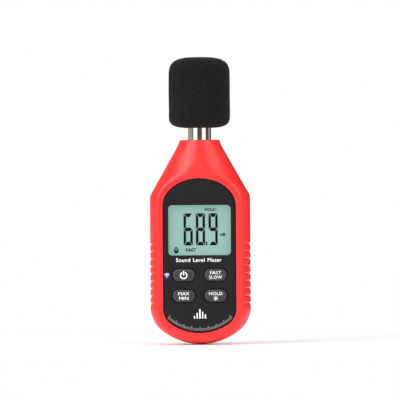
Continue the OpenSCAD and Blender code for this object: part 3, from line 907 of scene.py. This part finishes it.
def front_shell():
  bm = bmesh.new()
  rings = shell_rings(bm, front_path, -1)
  loft(bm, rings)
  fronts = []
  backs = []
  for hole in [window_rect(0.8, 1.5)] + key_holes():
    fronts.append(add_ring(bm, in_xz(hole(), FLOOR_Y)))
    backs.append(add_ring(bm, in_xz(hole(), INSIDE_Y)))
    bridge(bm, fronts[-1], backs[-1])
  fill(bm, [rings[-1]] + fronts)
  fill(bm, [rings[0]] + backs)
  place(store("front_case_shell", bm, CASE_SHARP), CASE_RED, "front_shell")


def rear_path(kind, value):
  """A station's points from inside, round the parting edge, to the flat back."""
  flat = flat_point(kind, value)
  path = shell_path(kind, value, flat, False, 0)
  middle = (flat.x * 0.97, BACK_D - WALL, lerp(flat.y, END_R, 0.02))
  return [middle, inner_wall(kind, value, 8)] + path


def cutter(outline, y0):
  """A cutting body from y0 out through the back, where it flares."""
  flare = 0.25
  lip = -flare - 0.05
  profile = [(0, y0), (0, BACK_D - flare - 0.02), (lip, BACK_D + 0.03), (lip, BACK_D + 2)]
  return lambda bm: plate(bm, outline, [], profile)


def tray(bm, outline, wall, y_floor, y_top, floor_t):
  """An open box in XZ that faces backwards."""
  profile = [(wall, y_floor - floor_t), (wall, y_top), (0, y_top), (0, y_floor)]
  solid(bm, [add_ring(bm, in_xz(outline(g), y)) for g, y in profile])


SCREW_AT = [(21, 14), (-21, 14), (15, 88), (-15, 88)]
SCREW_WELL_R = 2.6
SCREW_WELL_Y = 5.9
LOW_WELL_TOP_Y = 10.8
INSERT_AT = box_middle(INSERT_LOW, INSERT_HIGH)
INSERT_R = (INSERT_HIGH.x - INSERT_LOW.x) / 2
DOOR_GAP = 0.3
DOOR_TOP = 71.6
BAY_HW = DOOR_HIGH.x - 0.4
BAY_Z = (16.5, 66.5)
BAY_Y = 1.4
LEDGE_Y = 12.45
DOOR_WELL_Y = 10.9
HOOK_BAY_Z = 70.9
HOOK_BAY_W = 26.8
HOOK_BAY_H = 6.2
HOOK_BAY_Y = 8.2


def rear_shell():
  """The back of the case, cut open for the door, screws and insert, with trays behind."""
  bm = bmesh.new()
  solid(bm, shell_rings(bm, rear_path, 1))
  shell = store("rear_case_shell", bm, CASE_SHARP)
  door_z = (DOOR_LOW.z + DOOR_TOP) / 2
  door_h = DOOR_TOP - DOOR_LOW.z + 2 * DOOR_GAP
  door = round_rect(0, door_z, 2 * (DOOR_HIGH.x + DOOR_GAP), door_h, 2.2)
  cutters = [cutter(door, LEDGE_Y - 1)]
  cutters += [cutter(circle(x, z, SCREW_WELL_R), 5) for x, z in SCREW_AT]
  cutters.append(cutter(circle(*INSERT_AT, INSERT_R + 0.1), LEDGE_Y - 1))
  combine(shell, cutters, sharp=CASE_SHARP)
  bm = bmesh.new()
  bm.from_mesh(shell.data)
  bmesh.ops.scale(bm, vec=(1 / MM, 1 / MM, 1 / MM), verts=bm.verts)
  bay_z = (BAY_Z[0] + BAY_Z[1]) / 2
  well_z0 = DOOR_LOW.z - 0.1
  well_h = BAY_Z[0] - 1.3 - well_z0
  for z, w, h, y_floor, gap, floor_t in (
    (bay_z, 2 * BAY_HW, BAY_Z[1] - BAY_Z[0], BAY_Y, 0, 1.2),
    (well_z0 + well_h / 2, 2 * BAY_HW, well_h, DOOR_WELL_Y, 0.05, 1.5),
    (HOOK_BAY_Z, HOOK_BAY_W, HOOK_BAY_H, HOOK_BAY_Y, 0.1, 1.2),
  ):
    tray(bm, round_rect(0, z, w, h, 0.6), 1.2, y_floor, LEDGE_Y - gap, floor_t)
  for x, z in SCREW_AT:
    top = LEDGE_Y + 0.05 if z > END_R else LOW_WELL_TOP_Y
    tray(bm, circle(x, z, SCREW_WELL_R), 0.9, SCREW_WELL_Y, top, 1.6)
  tray(bm, circle(*INSERT_AT, INSERT_R + 0.05), 1.9, 6.0, LEDGE_Y + 0.05, 1.6)
  old = shell.data
  bpy.data.objects.remove(shell)
  bpy.data.meshes.remove(old)
  place(store("rear_case_shell", bm, CASE_SHARP, 0.0002), CASE_RED, "rear_shell")


def front_panel():
  look = ("case", "panel_grey", PANEL)
  holes = [window_rect(0, 2.4)] + key_holes()
  profile = round_edge(PANEL_Y, 0.3) + [(0, FLOOR_Y)]
  plate_piece("front_panel_plate", look, "front_panel", panel_outline, holes, profile, PLATE_SHARP)


# ---- display ----


def display_window():
  look = ("case", "window", WINDOW)
  profile = round_edge(WINDOW_LOW.y, 0.3) + [(0, WINDOW_HIGH.y)]
  lens = window_rect(-0.12, 2.35)
  plate_piece("display_lens", look, "display_window", lens, [], profile, PLATE_SHARP)


def display_gasket():
  look = ("case", "gasket_black", BLACK_RUBBER)
  outer, inner = window_rect(0.7, 1.4), window_rect(-0.2, 1.6)
  profile = [(0.1, FLOOR_Y + 0.05), (0, FLOOR_Y + 0.15), (0, GLASS_LOW.y - 0.03)]
  plate_piece("display_seal", look, "display_gasket", outer, [inner], profile)


def display_glass():
  glass = box_rect(GLASS_LOW, GLASS_HIGH, 0.4)
  profile = [(0.15, GLASS_LOW.y), (0, GLASS_LOW.y + 0.15), (0, GLASS_HIGH.y)]
  plate_piece("display_glass_cell", DISPLAY_BACK, "lcd_glass", glass, [], profile)


PRINT_T = 0.025
PRINT_WELD = 0.00005
PRINT_SHARP = 30
PRINT_BOLD = 0.009
DISPLAY_BOLD = 0.042


def flat_shapes(name, outlines, y, look, thick=PRINT_T, sink=0.02):
  """Plates in XZ with these outlines, on the surface at y and sunk into it."""
  bm = bmesh.new()
  back_y = y + copysign(sink, thick)
  for points in outlines:
    solid(bm, [add_ring(bm, in_xz(points, y - thick)), add_ring(bm, in_xz(points, back_y))])
  place(store(name, bm, PRINT_SHARP, PRINT_WELD), look)


def band(x, z, r, half, a0, a1, steps):
  """The outline of a stretch of a ring, from angle a0 to a1 in degrees."""
  angles = [radians(lerp(a0, a1, i / steps)) for i in range(steps + 1)]
  outer = [polar(x, z, r + half, a) for a in angles]
  return outer + [polar(x, z, r - half, a) for a in reversed(angles)]


def radio_waves(name, x, z, dot, radii, half, steps, y, look):
  """A dot with arcs over it."""
  arcs_above = [band(x, z, r, half, 50, 130, steps) for r in radii]
  flat_shapes(name, [circle(x, z, dot, 12)()] + arcs_above, y - PRINT_T, look)


DIGIT_W = 5.05
DIGIT_H = 17.6
DIGIT_X = (-8.8, -2.05, 4.9)
DIGIT_Z = WINDOW_Z - 8.35
DIGITS = ("afedcg", "abcdefg", "abcdfg")
INK_Y = GLASS_LOW.y - 0.01


def segments(x, z, lit):
  """Outlines of the lit segments of a digit with its lower left corner at x, z."""
  w, h, side, cross, slot = DIGIT_W, DIGIT_H, 1.4, 2.0, 0.1
  mid = h / 2
  top = h - cross
  low, high = mid - cross / 2, mid + cross / 2
  end = mid + cross * 0.55 + slot
  shapes = {
    "a": [(0.45, h), (w - 0.45, h), (w - side - 0.25, top), (side + 0.25, top)],
    "g": [(0.35, mid), (side, high), (w - side, high), (w - 0.35, mid), (w - side, low), (side, low)],
    "f": [(0, h - 0.5), (0.3, h - 0.25), (side, top - slot), (side, end), (0, mid + slot * 2)],
  }
  for key, mirrored in (("d", "a"), ("e", "f")):
    shapes[key] = [(px, h - pz) for px, pz in shapes[mirrored]]
  for key, mirrored in (("b", "f"), ("c", "e")):
    shapes[key] = [(w - px, pz) for px, pz in shapes[mirrored]]
  return [[(x + px, z + pz) for px, pz in shapes[key]] for key in lit]


def display_marks():
  """The reading, its point and the radio sign, in front of the display glass."""
  outlines = [o for x, lit in zip(DIGIT_X, DIGITS) for o in segments(x, DIGIT_Z, lit)]
  point_x = DIGIT_X[1] + DIGIT_W + 0.8
  outlines.append(round_rect(point_x, DIGIT_Z + 1.05, 0.75, 2.1, 0.2, 3)())
  flat_shapes("display_reading", outlines, INK_Y, DISPLAY_INK)
  x, z = -12.9, WINDOW_Z - 10.95
  flat_shapes("display_radio_sign", [oval(x, z, 1.3, 1.75, 28)], INK_Y, DISPLAY_INK)
  radio_waves("display_radio_waves", x, z - 0.7, 0.16, (0.6, 1.1, 1.6), 0.1, 8, INK_Y, DISPLAY_BACK)


def fatter(v, bold):
  """How far a corner moves when a letter's walls move out by bold."""
  walls = [f.normal for f in v.link_faces if abs(f.normal.z) < 0.5]
  if len(walls) != 2:
    return Vector()
  return (walls[0] + walls[1]) * bold / max(1 + walls[0].dot(walls[1]), 0.5)


def letter_mesh(name, text):
  """The mesh of one line of letters."""
  curve = bpy.data.curves.new(name, "FONT")
  curve.body = text
  curve.align_x = "CENTER"
  curve.space_word = 1.3
  curve.space_character = 1.05
  curve.extrude = 0.5
  curve.resolution_u = 3
  source = add_object("text", curve)
  graph = bpy.context.evaluated_depsgraph_get()
  mesh = bpy.data.meshes.new_from_object(source.evaluated_get(graph))
  bpy.data.objects.remove(source)
  bm = bmesh.new()
  bm.from_mesh(mesh)
  bpy.data.meshes.remove(mesh)
  bmesh.ops.remove_doubles(bm, verts=bm.verts, dist=0.004)
  return bm


def lettering(name, text, x, z, cap, width, y, look, bold, sink=0.02):
  """One line of letters, cap high and width long, on the surface at y and sunk into it."""
  bm = letter_mesh(name, text)
  for v, shift in [(v, fatter(v, bold)) for v in bm.verts]:
    v.co += shift
  xs = [v.co.x for v in bm.verts]
  ys = [v.co.y for v in bm.verts]
  wide = width / (max(xs) - min(xs))
  tall = cap / (max(ys) - min(ys))
  mid_x = (max(xs) + min(xs)) / 2
  mid_y = (max(ys) + min(ys)) / 2
  for v in bm.verts:
    deep = y - PRINT_T if v.co.z > 0 else y + sink
    v.co = Vector((x + (v.co.x - mid_x) * wide, deep, z + (v.co.y - mid_y) * tall))
  place(store(name, bm, PRINT_SHARP, PRINT_WELD), look)


def display_words():
  for name, text, x, dz, cap, width in (
    ("display_word_hold", "HOLD", 5.8, 11.35, 1.65, 6.0),
    ("display_word_fast", "FAST", -4.8, -10.8, 1.8, 5.8),
    ("display_unit", "dB", 12.7, -2.45, 1.65, 2.9),
  ):
    lettering(name, text, x, WINDOW_Z + dz, cap, width, INK_Y, DISPLAY_INK, DISPLAY_BOLD)


# ---- keys ----

LEGENDS = {
  "button_response": (("FAST", 1.25, 6.1), ("SLOW", -1.25, 7.1)),
  "button_max_min": (("MAX", 1.25, 6.0), ("MIN", -1.3, 5.2)),
  "button_hold": (("HOLD", 1.25, 7.4),),
}
LEGEND_CAP = 1.75
KEY_SINK = 0.12


def key_cap(node):
  """A moulded key: a crowned pill on a wider flange, with a stem behind."""
  low, high = box_mm(node)
  crown = [(2.6, 0), (1.7, 0.02), (1.0, 0.08), (0.55, 0.2), (0.25, 0.4), (0.08, 0.68), (0, 1.0)]
  profile = [(shrink, low.y + deep) for shrink, deep in crown]
  y = INSIDE_Y + 0.1
  profile += [(0, y), (-KEY_FLANGE + 0.1, y), (-KEY_FLANGE, y + 0.1), (-KEY_FLANGE, y + 1.0)]
  profile += [(1.6, y + 1.0), (1.6, high.y)]
  look = (node, "key_grey", KEY)
  plate_piece(node + "_cap", look, node, key_outline(node), [], profile, PLATE_SHARP)


def key_face(node):
  """The middle and front of a key, and the look of the print on it."""
  low, high = box_mm(node)
  return *box_middle(low, high), low.y, (node, "key_grey", WHITE_INK)


def key_prints():
  for node, lines in LEGENDS.items():
    x, z, y, look = key_face(node)
    for text, dz, width in lines:
      name = node + "_word_" + text.lower()
      lettering(name, text, x, z + dz, LEGEND_CAP, width, y, look, PRINT_BOLD, KEY_SINK)
  x, z, y, look = key_face("button_power")
  sign = [band(x, z - 0.15, 1.75, 0.3, 118, 422, 32), round_rect(x, z + 1.15, 0.62, 2.5, 0.3, 4)()]
  flat_shapes("button_power_sign", sign, y, look, sink=KEY_SINK)
  x, z, y, look = key_face("button_hold")
  z -= 1.45
  lamp = [circle(x, z, 0.62, 20)()]
  for i in range(8):
    c, s = cos(pi / 4 * i), sin(pi / 4 * i)
    ray = ((0.9, -0.13), (1.4, -0.13), (1.4, 0.13), (0.9, 0.13))
    lamp.append([(x + u * c - v * s, z + u * s + v * c) for u, v in ray])
  flat_shapes("button_hold_lamp_sign", lamp, y, look, sink=KEY_SINK)


# ---- print on the panel ----

TITLE_AT = (-0.4, 46.35)
TITLE_CAP = 2.15
TITLE_W = 25.0
RADIO_AT = (-18.0, 37.9)
BARS_Z = 14.2
BARS = (1.6, 3.2, 5.2, 3.8, 2.4)
TICKS = 24
TICK_TURN = radians(1.75)


def panel_prints():
  """A plain title, a blue radio dot, level bars and a fine scale along the bottom arc."""
  y = PANEL_Y
  title = ("panel_title", "Sound Level Meter", *TITLE_AT, TITLE_CAP, TITLE_W)
  lettering(*title, y, PANEL_WHITE, PRINT_BOLD)
  x, z = RADIO_AT
  flat_shapes("panel_radio_dot", [oval(x, z, 1.65, 1.95, 36)], y, ("case", "panel_grey", BLUE_INK))
  radio_waves("panel_radio_waves", x, z - 0.95, 0.24, (0.8, 1.4, 2.0), 0.16, 10, y, PANEL_WHITE)
  bars = []
  for i, tall in enumerate(BARS):
    bars.append(round_rect((i - 2) * 1.5, BARS_Z + tall / 2, 0.7, tall, 0.3, 3)())
  flat_shapes("panel_level_bars", bars, y, PANEL_WHITE)
  ticks = []
  for i in range(-TICKS, TICKS + 1):
    a = i * TICK_TURN
    long = 2.2 if i % 6 == 0 else 1.4
    n = Vector((sin(a), -cos(a)))
    side = Vector((n.y, -n.x)) * 0.14
    outer = Vector((0, END_R)) + n * (PANEL_END_R - 1.0)
    inner = outer - n * long
    ticks.append([outer + side, outer - side, inner - side, inner + side])
  flat_shapes("panel_scale", ticks, y, ("case", "panel_grey", GREY_INK))


# ---- microphone ----


def mic_tube():
  r, z0, z1 = TUBE_R, TUBE_LOW.z, TUBE_HIGH.z
  bore = r - 0.8
  outside = [(r - 0.15, z0), (r, z0 + 0.15), (r, z0 + 6), (r, z1 - 0.12), (r - 0.12, z1)]
  tube = turned("microphone_tube", [(bore, z0)] + outside + [(bore, z1)], 128)
  place(tube, ("case", "polished_tube", POLISHED), "mic_tube")


def mic_grid():
  """A screw-on cap with a narrow waist and slots across its top."""
  r, z0, z1 = TUBE_R, GRID_LOW.z, GRID_HIGH.z
  profile = [(5.2, z0)]
  waist = ((0.1, 0), (0, 0.1), (0, 0.35), (0.15, 0.45), (0.15, 0.6), (0, 0.7))
  profile += [(r - shrink, z0 + up) for shrink, up in waist]
  shoulder = ((0, 0.9), (0.06, 0.6), (0.28, 0.22), (0.65, 0.03), (1.1, 0))
  profile += [(r - shrink, z1 - down) for shrink, down in shoulder]
  profile += [(1.0, z1), (1.0, z1 - 0.6), (5.2, z1 - 0.6)]
  cap = turned("microphone_grid", profile, 120)

  def slots(bm):
    for i in range(6):
      x = -4 + 1.6 * i
      ring = round_rect(x, 0, 0.7, 2 * sqrt(4.9**2 - x**2), 0.34, 5)()
      solid(bm, [add_ring(bm, in_xy(ring, z)) for z in (z1 - 1.2, z1 + 1)])

  combine(cap, [slots])
  place(cap, ("case", "polished_tube", GRID_METAL), "mic_grid")


FOAM_LOW_H = 8
FOAM_TOP_H = 12
FOAM_TURN = 320
FOAM_SIDE_STEPS = 40
FOAM_SKIN = 0.12


def foam_profile():
  """(radius, height) pairs of the windscreen, from its mouth to its top."""
  r = FOAM_HIGH.x - FOAM_SKIN
  mouth = TUBE_R + 0.12
  mouth_a = asin((mouth / r) ** 2)
  made = [(mouth + 0.1, FOAM_LOW.z + 0.45)]
  for i in range(31):
    a = lerp(mouth_a, pi / 2, i / 30)
    up = FOAM_LOW_H * (1 - max(cos(a), 0) ** 0.55)
    made.append((r * sin(a) ** 0.5, FOAM_LOW.z + 0.1 + up))
  side = FOAM_HIGH.z - FOAM_TOP_H
  start = made[-1][1]
  for i in range(1, FOAM_SIDE_STEPS):
    made.append((r, lerp(start, side, i / FOAM_SIDE_STEPS)))
  for i in range(44):
    a = pi / 2 * i / 44
    down = FOAM_TOP_H * (1 - sin(a) ** 0.55)
    made.append((r * max(cos(a), 0) ** 0.62, FOAM_HIGH.z - FOAM_SKIN - down))
  return made


def windscreen():
  """The foam body, its skin broken up by fine open cells."""
  bm = bmesh.new()
  rings = []
  for k, (r, z) in enumerate(foam_profile()):
    ring = []
    for x, y in circle(0, 0, max(r, 0.4), FOAM_TURN)():
      at = Vector((x, y, z))
      rough = noise.noise(at * 2.3) * 0.06 + noise.noise(at * 0.12) * 0.1
      shrink = 1 + (rough - 0.05) / max(r, 6) if k else 1
      ring.append((at.x * shrink, at.y * shrink, z + (rough * 0.4 if 1 < k else 0)))
    rings.append(add_ring(bm, ring))
  loft(bm, rings)
  fill(bm, [rings[-1]])
  ends = (FOAM_LOW.z + 1.0, GRID_HIGH.z + 0.4)
  bore = [add_ring(bm, in_xy(circle(0, 0, TUBE_R + 0.1, FOAM_TURN)(), z)) for z in ends]
  loft(bm, bore)
  bridge(bm, bore[0], rings[0])
  fill(bm, [bore[1]])
  body = place(store("foam_windscreen", bm, 80), ("windscreen", "foam", FOAM), "windscreen")


# ---- back ----

DOOR_EDGE_R = 1.2
DOOR_CORNER = 2
DOOR_Y = 12.7
DOOR_SCREW_Z = box_middle(DOOR_SCREW_LOW, DOOR_SCREW_HIGH)[1]
DOOR_HEAD_Y = 12.4
SCREW_SEAT_R = 2.9
HOOK_X = (-9, 9)
HOOK_HW = 2.5


def door_outline(g):
  """The door below its hinge axis, grown by g."""
  hw, low, r = DOOR_HIGH.x, DOOR_LOW.z, DOOR_CORNER
  axis_z = DOOR_TOP - DOOR_EDGE_R
  corner = []
  for i in range(9):
    a = pi / 2 * (i / 8 - 1)
    corner.append(polar(hw - r, low + r, r + g, a))
  return corner + [(hw + g, axis_z), (-hw - g, axis_z)] + [(-x, z) for x, z in reversed(corner)]


def battery_door():
  """A plate with a half-round top edge, two hooks, a screw boss and a label seat."""
  hw = DOOR_HIGH.x
  axis_z = DOOR_TOP - DOOR_EDGE_R
  axis_y = BACK_D - DOOR_EDGE_R
  profile = [(shrink, -y) for shrink, y in round_edge(-BACK_D, 0.3)] + [(0, DOOR_Y)]
  bm = bmesh.new()
  plate(bm, door_outline, [circle(0, DOOR_SCREW_Z, SCREW_SEAT_R)], profile)
  door = store("battery_door_cover", bm, CASE_SHARP)
  edge = [(BACK_D - 0.02, axis_z - 1)]
  for i in range(13):
    a = pi * (0.5 - i / 12)
    edge.append((axis_y + DOOR_EDGE_R * sin(a), axis_z + DOOR_EDGE_R * cos(a)))
  edge.append((BACK_D - 2 * DOOR_EDGE_R, axis_z - 1))
  y0, y1, top = DOOR_LOW.y, BACK_D - 2 * DOOR_EDGE_R, DOOR_HIGH.z
  foot_z = axis_z - 0.8
  hook = [(y0, foot_z), (y0, top - 0.2), (y0 + 0.2, top), (y1 - 0.2, top), (y1, top - 0.2)]
  hook += [(y1, axis_z), (y1 + 0.8, axis_z), (y1 + 0.8, foot_z)]
  boss_z0 = DOOR_LOW.z + 0.6
  boss_h = DOOR_SCREW_Z + 3 - boss_z0
  boss = round_rect(0, boss_z0 + boss_h / 2, 12, boss_h, 0.8)
  bore = circle(0, DOOR_SCREW_Z, 1.35)
  joined = [lambda bm: prism(bm, edge, -hw, hw)]
  joined += [lambda bm, x=x: prism(bm, hook, x - HOOK_HW, x + HOOK_HW) for x in HOOK_X]
  joined.append(lambda bm: plate(bm, boss, [bore], [(0, 11.2), (0, DOOR_Y + 0.1)]))
  combine(door, joined, "UNION")
  seat = box_rect(LABEL_LOW, LABEL_HIGH, 1.2, 0.4)
  combine(door, [lambda bm: plate(bm, seat, [], [(0, LABEL_LOW.y), (0, BACK_D + 1)])])
  place(door, ("battery_door", "case_red", RED), "battery_door")


def door_cushion():
  """The rubber pad that holds the cells, its rim rounded off."""
  look = ("battery_door", "gasket_black", BLACK_RUBBER)
  low, high = box_mm("door_pad")
  profile = round_edge(low.y, 0.5) + [(0, high.y)]
  plate_piece("door_cushion", look, "door_pad", box_rect(low, high, 1.2), [], profile)


def rating_label():
  """A plain label film with blank ruled fields."""
  x, z = box_middle(LABEL_LOW, LABEL_HIGH)
  y = LABEL_HIGH.y
  look = ("battery_door", "label", LABEL)
  profile = [(0.05, y), (0, y - 0.03), (0, LABEL_LOW.y)]
  plate_piece("blank_label", look, "rating_label", box_rect(LABEL_LOW, LABEL_HIGH, 1), [], profile)
  rule = 0.22
  inset = 1.6
  w = LABEL_HIGH.x - LABEL_LOW.x - 2 * inset
  h = LABEL_HIGH.z - LABEL_LOW.z - 2 * inset
  rules = [(0, side * h / 2, w, rule) for side in (-1, 1)]
  rules += [(side * w / 2, 0, rule, h) for side in (-1, 1)]
  rules += [(0, dz, w - 3, rule) for dz in (-4.7, 0, 4.7)]
  lines = [round_rect(x + dx, z + dz, long, tall, 0.05, 2)() for dx, dz, long, tall in rules]
  flat_shapes("blank_label_rules", lines, y, ("battery_door", "label", GREY_INK), -PRINT_T)


THREAD_R = 2.6
THREAD_PITCH = 1.27
THREAD_DEEP = 0.5
THREAD_STEPS = 60
THREAD_RINGS = 64


def threaded_insert():
  """A brass insert with a real thread in its bore and a flange."""
  x, z = INSERT_AT
  y0, y1 = INSERT_LOW.y, INSERT_HIGH.y
  mouth = THREAD_R + 0.55
  profile = [(mouth, y1), (INSERT_R - 0.3, y1), (INSERT_R, y1 - 0.25)]
  profile += [(INSERT_R, y0 + 0.2), (INSERT_R - 0.2, y0), (mouth, y0)]
  bm = bmesh.new()
  rings = [add_ring(bm, in_xz(circle(x, z, r, THREAD_STEPS)(), y)) for r, y in profile]
  for k in range(THREAD_RINGS, -1, -1):
    y = y1 - 0.35 - (y1 - y0 - 0.7) * k / THREAD_RINGS
    fade = clamp(min(y1 - 0.3 - y, y - y0 - 0.3) / 0.5)
    ring = []
    for i in range(THREAD_STEPS):
      turn = i / THREAD_STEPS
      wave = abs(((y / THREAD_PITCH + turn) % 1) * 2 - 1)
      r = THREAD_R + 0.05 + THREAD_DEEP * lerp(1, wave, fade)
      ring.append(polar(x, z, r, 2 * pi * turn))
    rings.append(add_ring(bm, in_xz(ring, y)))
  loft(bm, rings + rings[:1])
  place(store("threaded_insert", bm, 40), ("case", "brass", BRASS), "tripod_insert")


CASE_SCREW_Y = 6
CASE_SCREW_TIP_Y = -5


def screw_set(name, look, node, places, head_y, head_r, shank_r, tip_y, cross, cross_y):
  """Pan-head screws along Y with cross recesses, their heads towards the back."""
  top = head_y + 1.5
  profile = [(shank_r * 0.4, tip_y), (shank_r, tip_y + 0.8), (shank_r, head_y)]
  profile += [(head_r - 0.12, head_y), (head_r, head_y + 0.15), (head_r, head_y + 0.75)]
  profile += [(head_r * share, top - down) for share, down in ((0.93, 0.4), (0.78, 0.16), (0.5, 0.03))]
  profile.append((0.2, top))
  bm = bmesh.new()
  for x, z in places:
    solid(bm, [add_ring(bm, in_xz(circle(x, z, r, 48)(), y)) for r, y in profile])
  made = store(name, bm)
  recess = [(0.12, cross_y), (0, top + 0.7)]
  for x, z in places:
    bars = [round_rect(x, z, w, h, 0.12, 2) for w, h in ((cross, 0.6), (0.6, cross))]
    combine(made, [lambda bm, bar=bar: plate(bm, bar, [], recess) for bar in bars])
  place(made, look, node)


def screws():
  screw_set(
    "case_screw_set", ("case", "steel", STEEL), "case_screws", SCREW_AT, CASE_SCREW_Y,
    head_r=2.3, shank_r=0.95, tip_y=CASE_SCREW_TIP_Y, cross=2.3, cross_y=CASE_SCREW_Y + 0.7,
  )
  screw_set(
    "battery_door_screw", ("door_screw", "steel", STEEL), "door_screw", [(0, DOOR_SCREW_Z)], DOOR_HEAD_Y,
    head_r=2.5, shank_r=1.1, tip_y=DOOR_SCREW_LOW.y, cross=3.2, cross_y=DOOR_HEAD_Y + 0.6,
  )


# ---- CAD nodes that keep their shape ----

KEPT = (
  (WHITE_PLASTIC, ("lcd_frame", "light_guide")),
  (BLACK_PLASTIC, ("mic_holder",)),
  (BLACK_RUBBER, ("zebra_strips", "mic_seal", "mic_lead", "battery_leads")),
  (SILICONE, ("keypad_mat",)),
  (BOARD, ("main_board",)),
  (CHIP, ("processor",)),
  (CERAMIC, ("board_parts",)),
  (STEEL, ("crystal", "radio_module", "battery_springs", "battery_contacts", "board_screws")),
  (CAPSULE, ("mic_capsule",)),
  (CELL, ("battery_1", "battery_3")),
  (CELL_TURNED, ("battery_2",)),
)


def refinish():
  for finish, nodes in KEPT:
    for node in nodes:
      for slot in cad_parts[node].material_slots:
        slot.material = finish


# ---- studio ----

VIEW_MM = 220
VIEW_Z = 79.2
LENS = 500
VIEW_TURN = 2.2
VIEW_ROLL = 0.4


def camera():
  """A long-lens view of the front, a little off its middle and not quite upright."""
  data = bpy.data.cameras.new("camera")
  data.lens = LENS
  data.sensor_width = 36
  data.clip_start = 0.05
  data.clip_end = 20
  made = add_object("camera", data)
  away = VIEW_MM * MM * LENS / data.sensor_width
  turn = radians(VIEW_TURN)
  made.location = (away * sin(turn), -away * cos(turn), VIEW_Z * MM)
  made.rotation_euler = (pi / 2, radians(VIEW_ROLL), turn)
  bpy.context.scene.camera = made


FLOOR_R = 300


def floor():
  """A plain pale disc under the meter."""
  bm = bmesh.new()
  z = cad_box[0][2] / MM - 0.2
  fill(bm, [add_ring(bm, in_xy(circle(0, 0, FLOOR_R, 96)(), z))])
  made = store("floor", bm)
  p = Paint("pale_floor", 0.6)
  p.tint((0.95, 0.95, 0.95), 0.01, 12)
  made.data.materials.append(p.gloss(0.55, 0.7, 40).relief(p.noise(900, 2), 0.01, 0.2).material)


LIGHT_AIM = Vector((0, 0, 0.08))
LIGHTS = {
  # azimuth, elevation, distance, width, height, radiance
  "left_low": (-41, -4, 1.0, 0.76, 0.55, 1.2),
  "left_high": (-41, 29, 1.0, 0.76, 0.6, 5.7),
  "right_low": (46, -4, 1.0, 0.72, 0.55, 1.12),
  "right_high": (46, 29, 1.0, 0.72, 0.6, 3.1),
  "top": (0, 75, 1.1, 0.9, 0.7, 1.6),
  "back_left": (-118, 10, 1.1, 2.3, 1.2, 0.28),
  "back_right": (112, 10, 1.1, 0.12, 0.9, 1.2),
  "back": (180, 30, 1.2, 0.7, 0.6, 2.0),
}
SKY_DIFFUSE = 0.42
SKY_GLOSSY = 0.08
SKY_SEEN = 1.0


def softbox(name, azimuth, elevation, distance, width, height, radiance):
  """An area light that faces the meter. Azimuth 0 is the front, positive to the right."""
  a, e = radians(azimuth), radians(elevation)
  away = Vector((sin(a) * cos(e), -cos(a) * cos(e), sin(e)))
  data = bpy.data.lights.new(name, "AREA")
  data.shape = "RECTANGLE"
  data.size = width
  data.size_y = height
  data.energy = radiance * pi * width * height
  made = add_object(name, data)
  made.location = LIGHT_AIM + away * distance
  made.rotation_mode = "QUATERNION"
  made.rotation_quaternion = away.to_track_quat("Z", "Y")
  made.visible_camera = False


def studio():
  """Soft boxes on both sides, a top light and three behind, under a pale sky."""
  for name, values in LIGHTS.items():
    softbox(name, *values)
  world = bpy.data.worlds.new("studio")
  bpy.context.scene.world = world
  world.use_nodes = True
  tree = world.node_tree
  tree.nodes.clear()
  ray = tree.nodes.new("ShaderNodeLightPath").outputs
  lit = {"Factor": ray["Is Glossy Ray"], "A": SKY_DIFFUSE, "B": SKY_GLOSSY}
  seen = {"Factor": ray["Is Camera Ray"], "A": add_node(tree, "Mix", "Result", lit), "B": SKY_SEEN}
  strength = add_node(tree, "Mix", "Result", seen)
  sky = add_node(tree, "Background", "Background", {"Color": (1, 1, 1, 1), "Strength": strength})
  feed(tree, tree.nodes.new("ShaderNodeOutputWorld").inputs["Surface"], sky)
  bpy.context.scene.view_settings.view_transform = "Standard"


camera()
front_shell()
rear_shell()
front_panel()
display_window()
display_gasket()
display_glass()
display_marks()
display_words()
for key in KEYS:
  key_cap(key)
key_prints()
panel_prints()
mic_tube()
mic_grid()
windscreen()
battery_door()
door_cushion()
rating_label()
threaded_insert()
screws()
refinish()
floor()
studio()
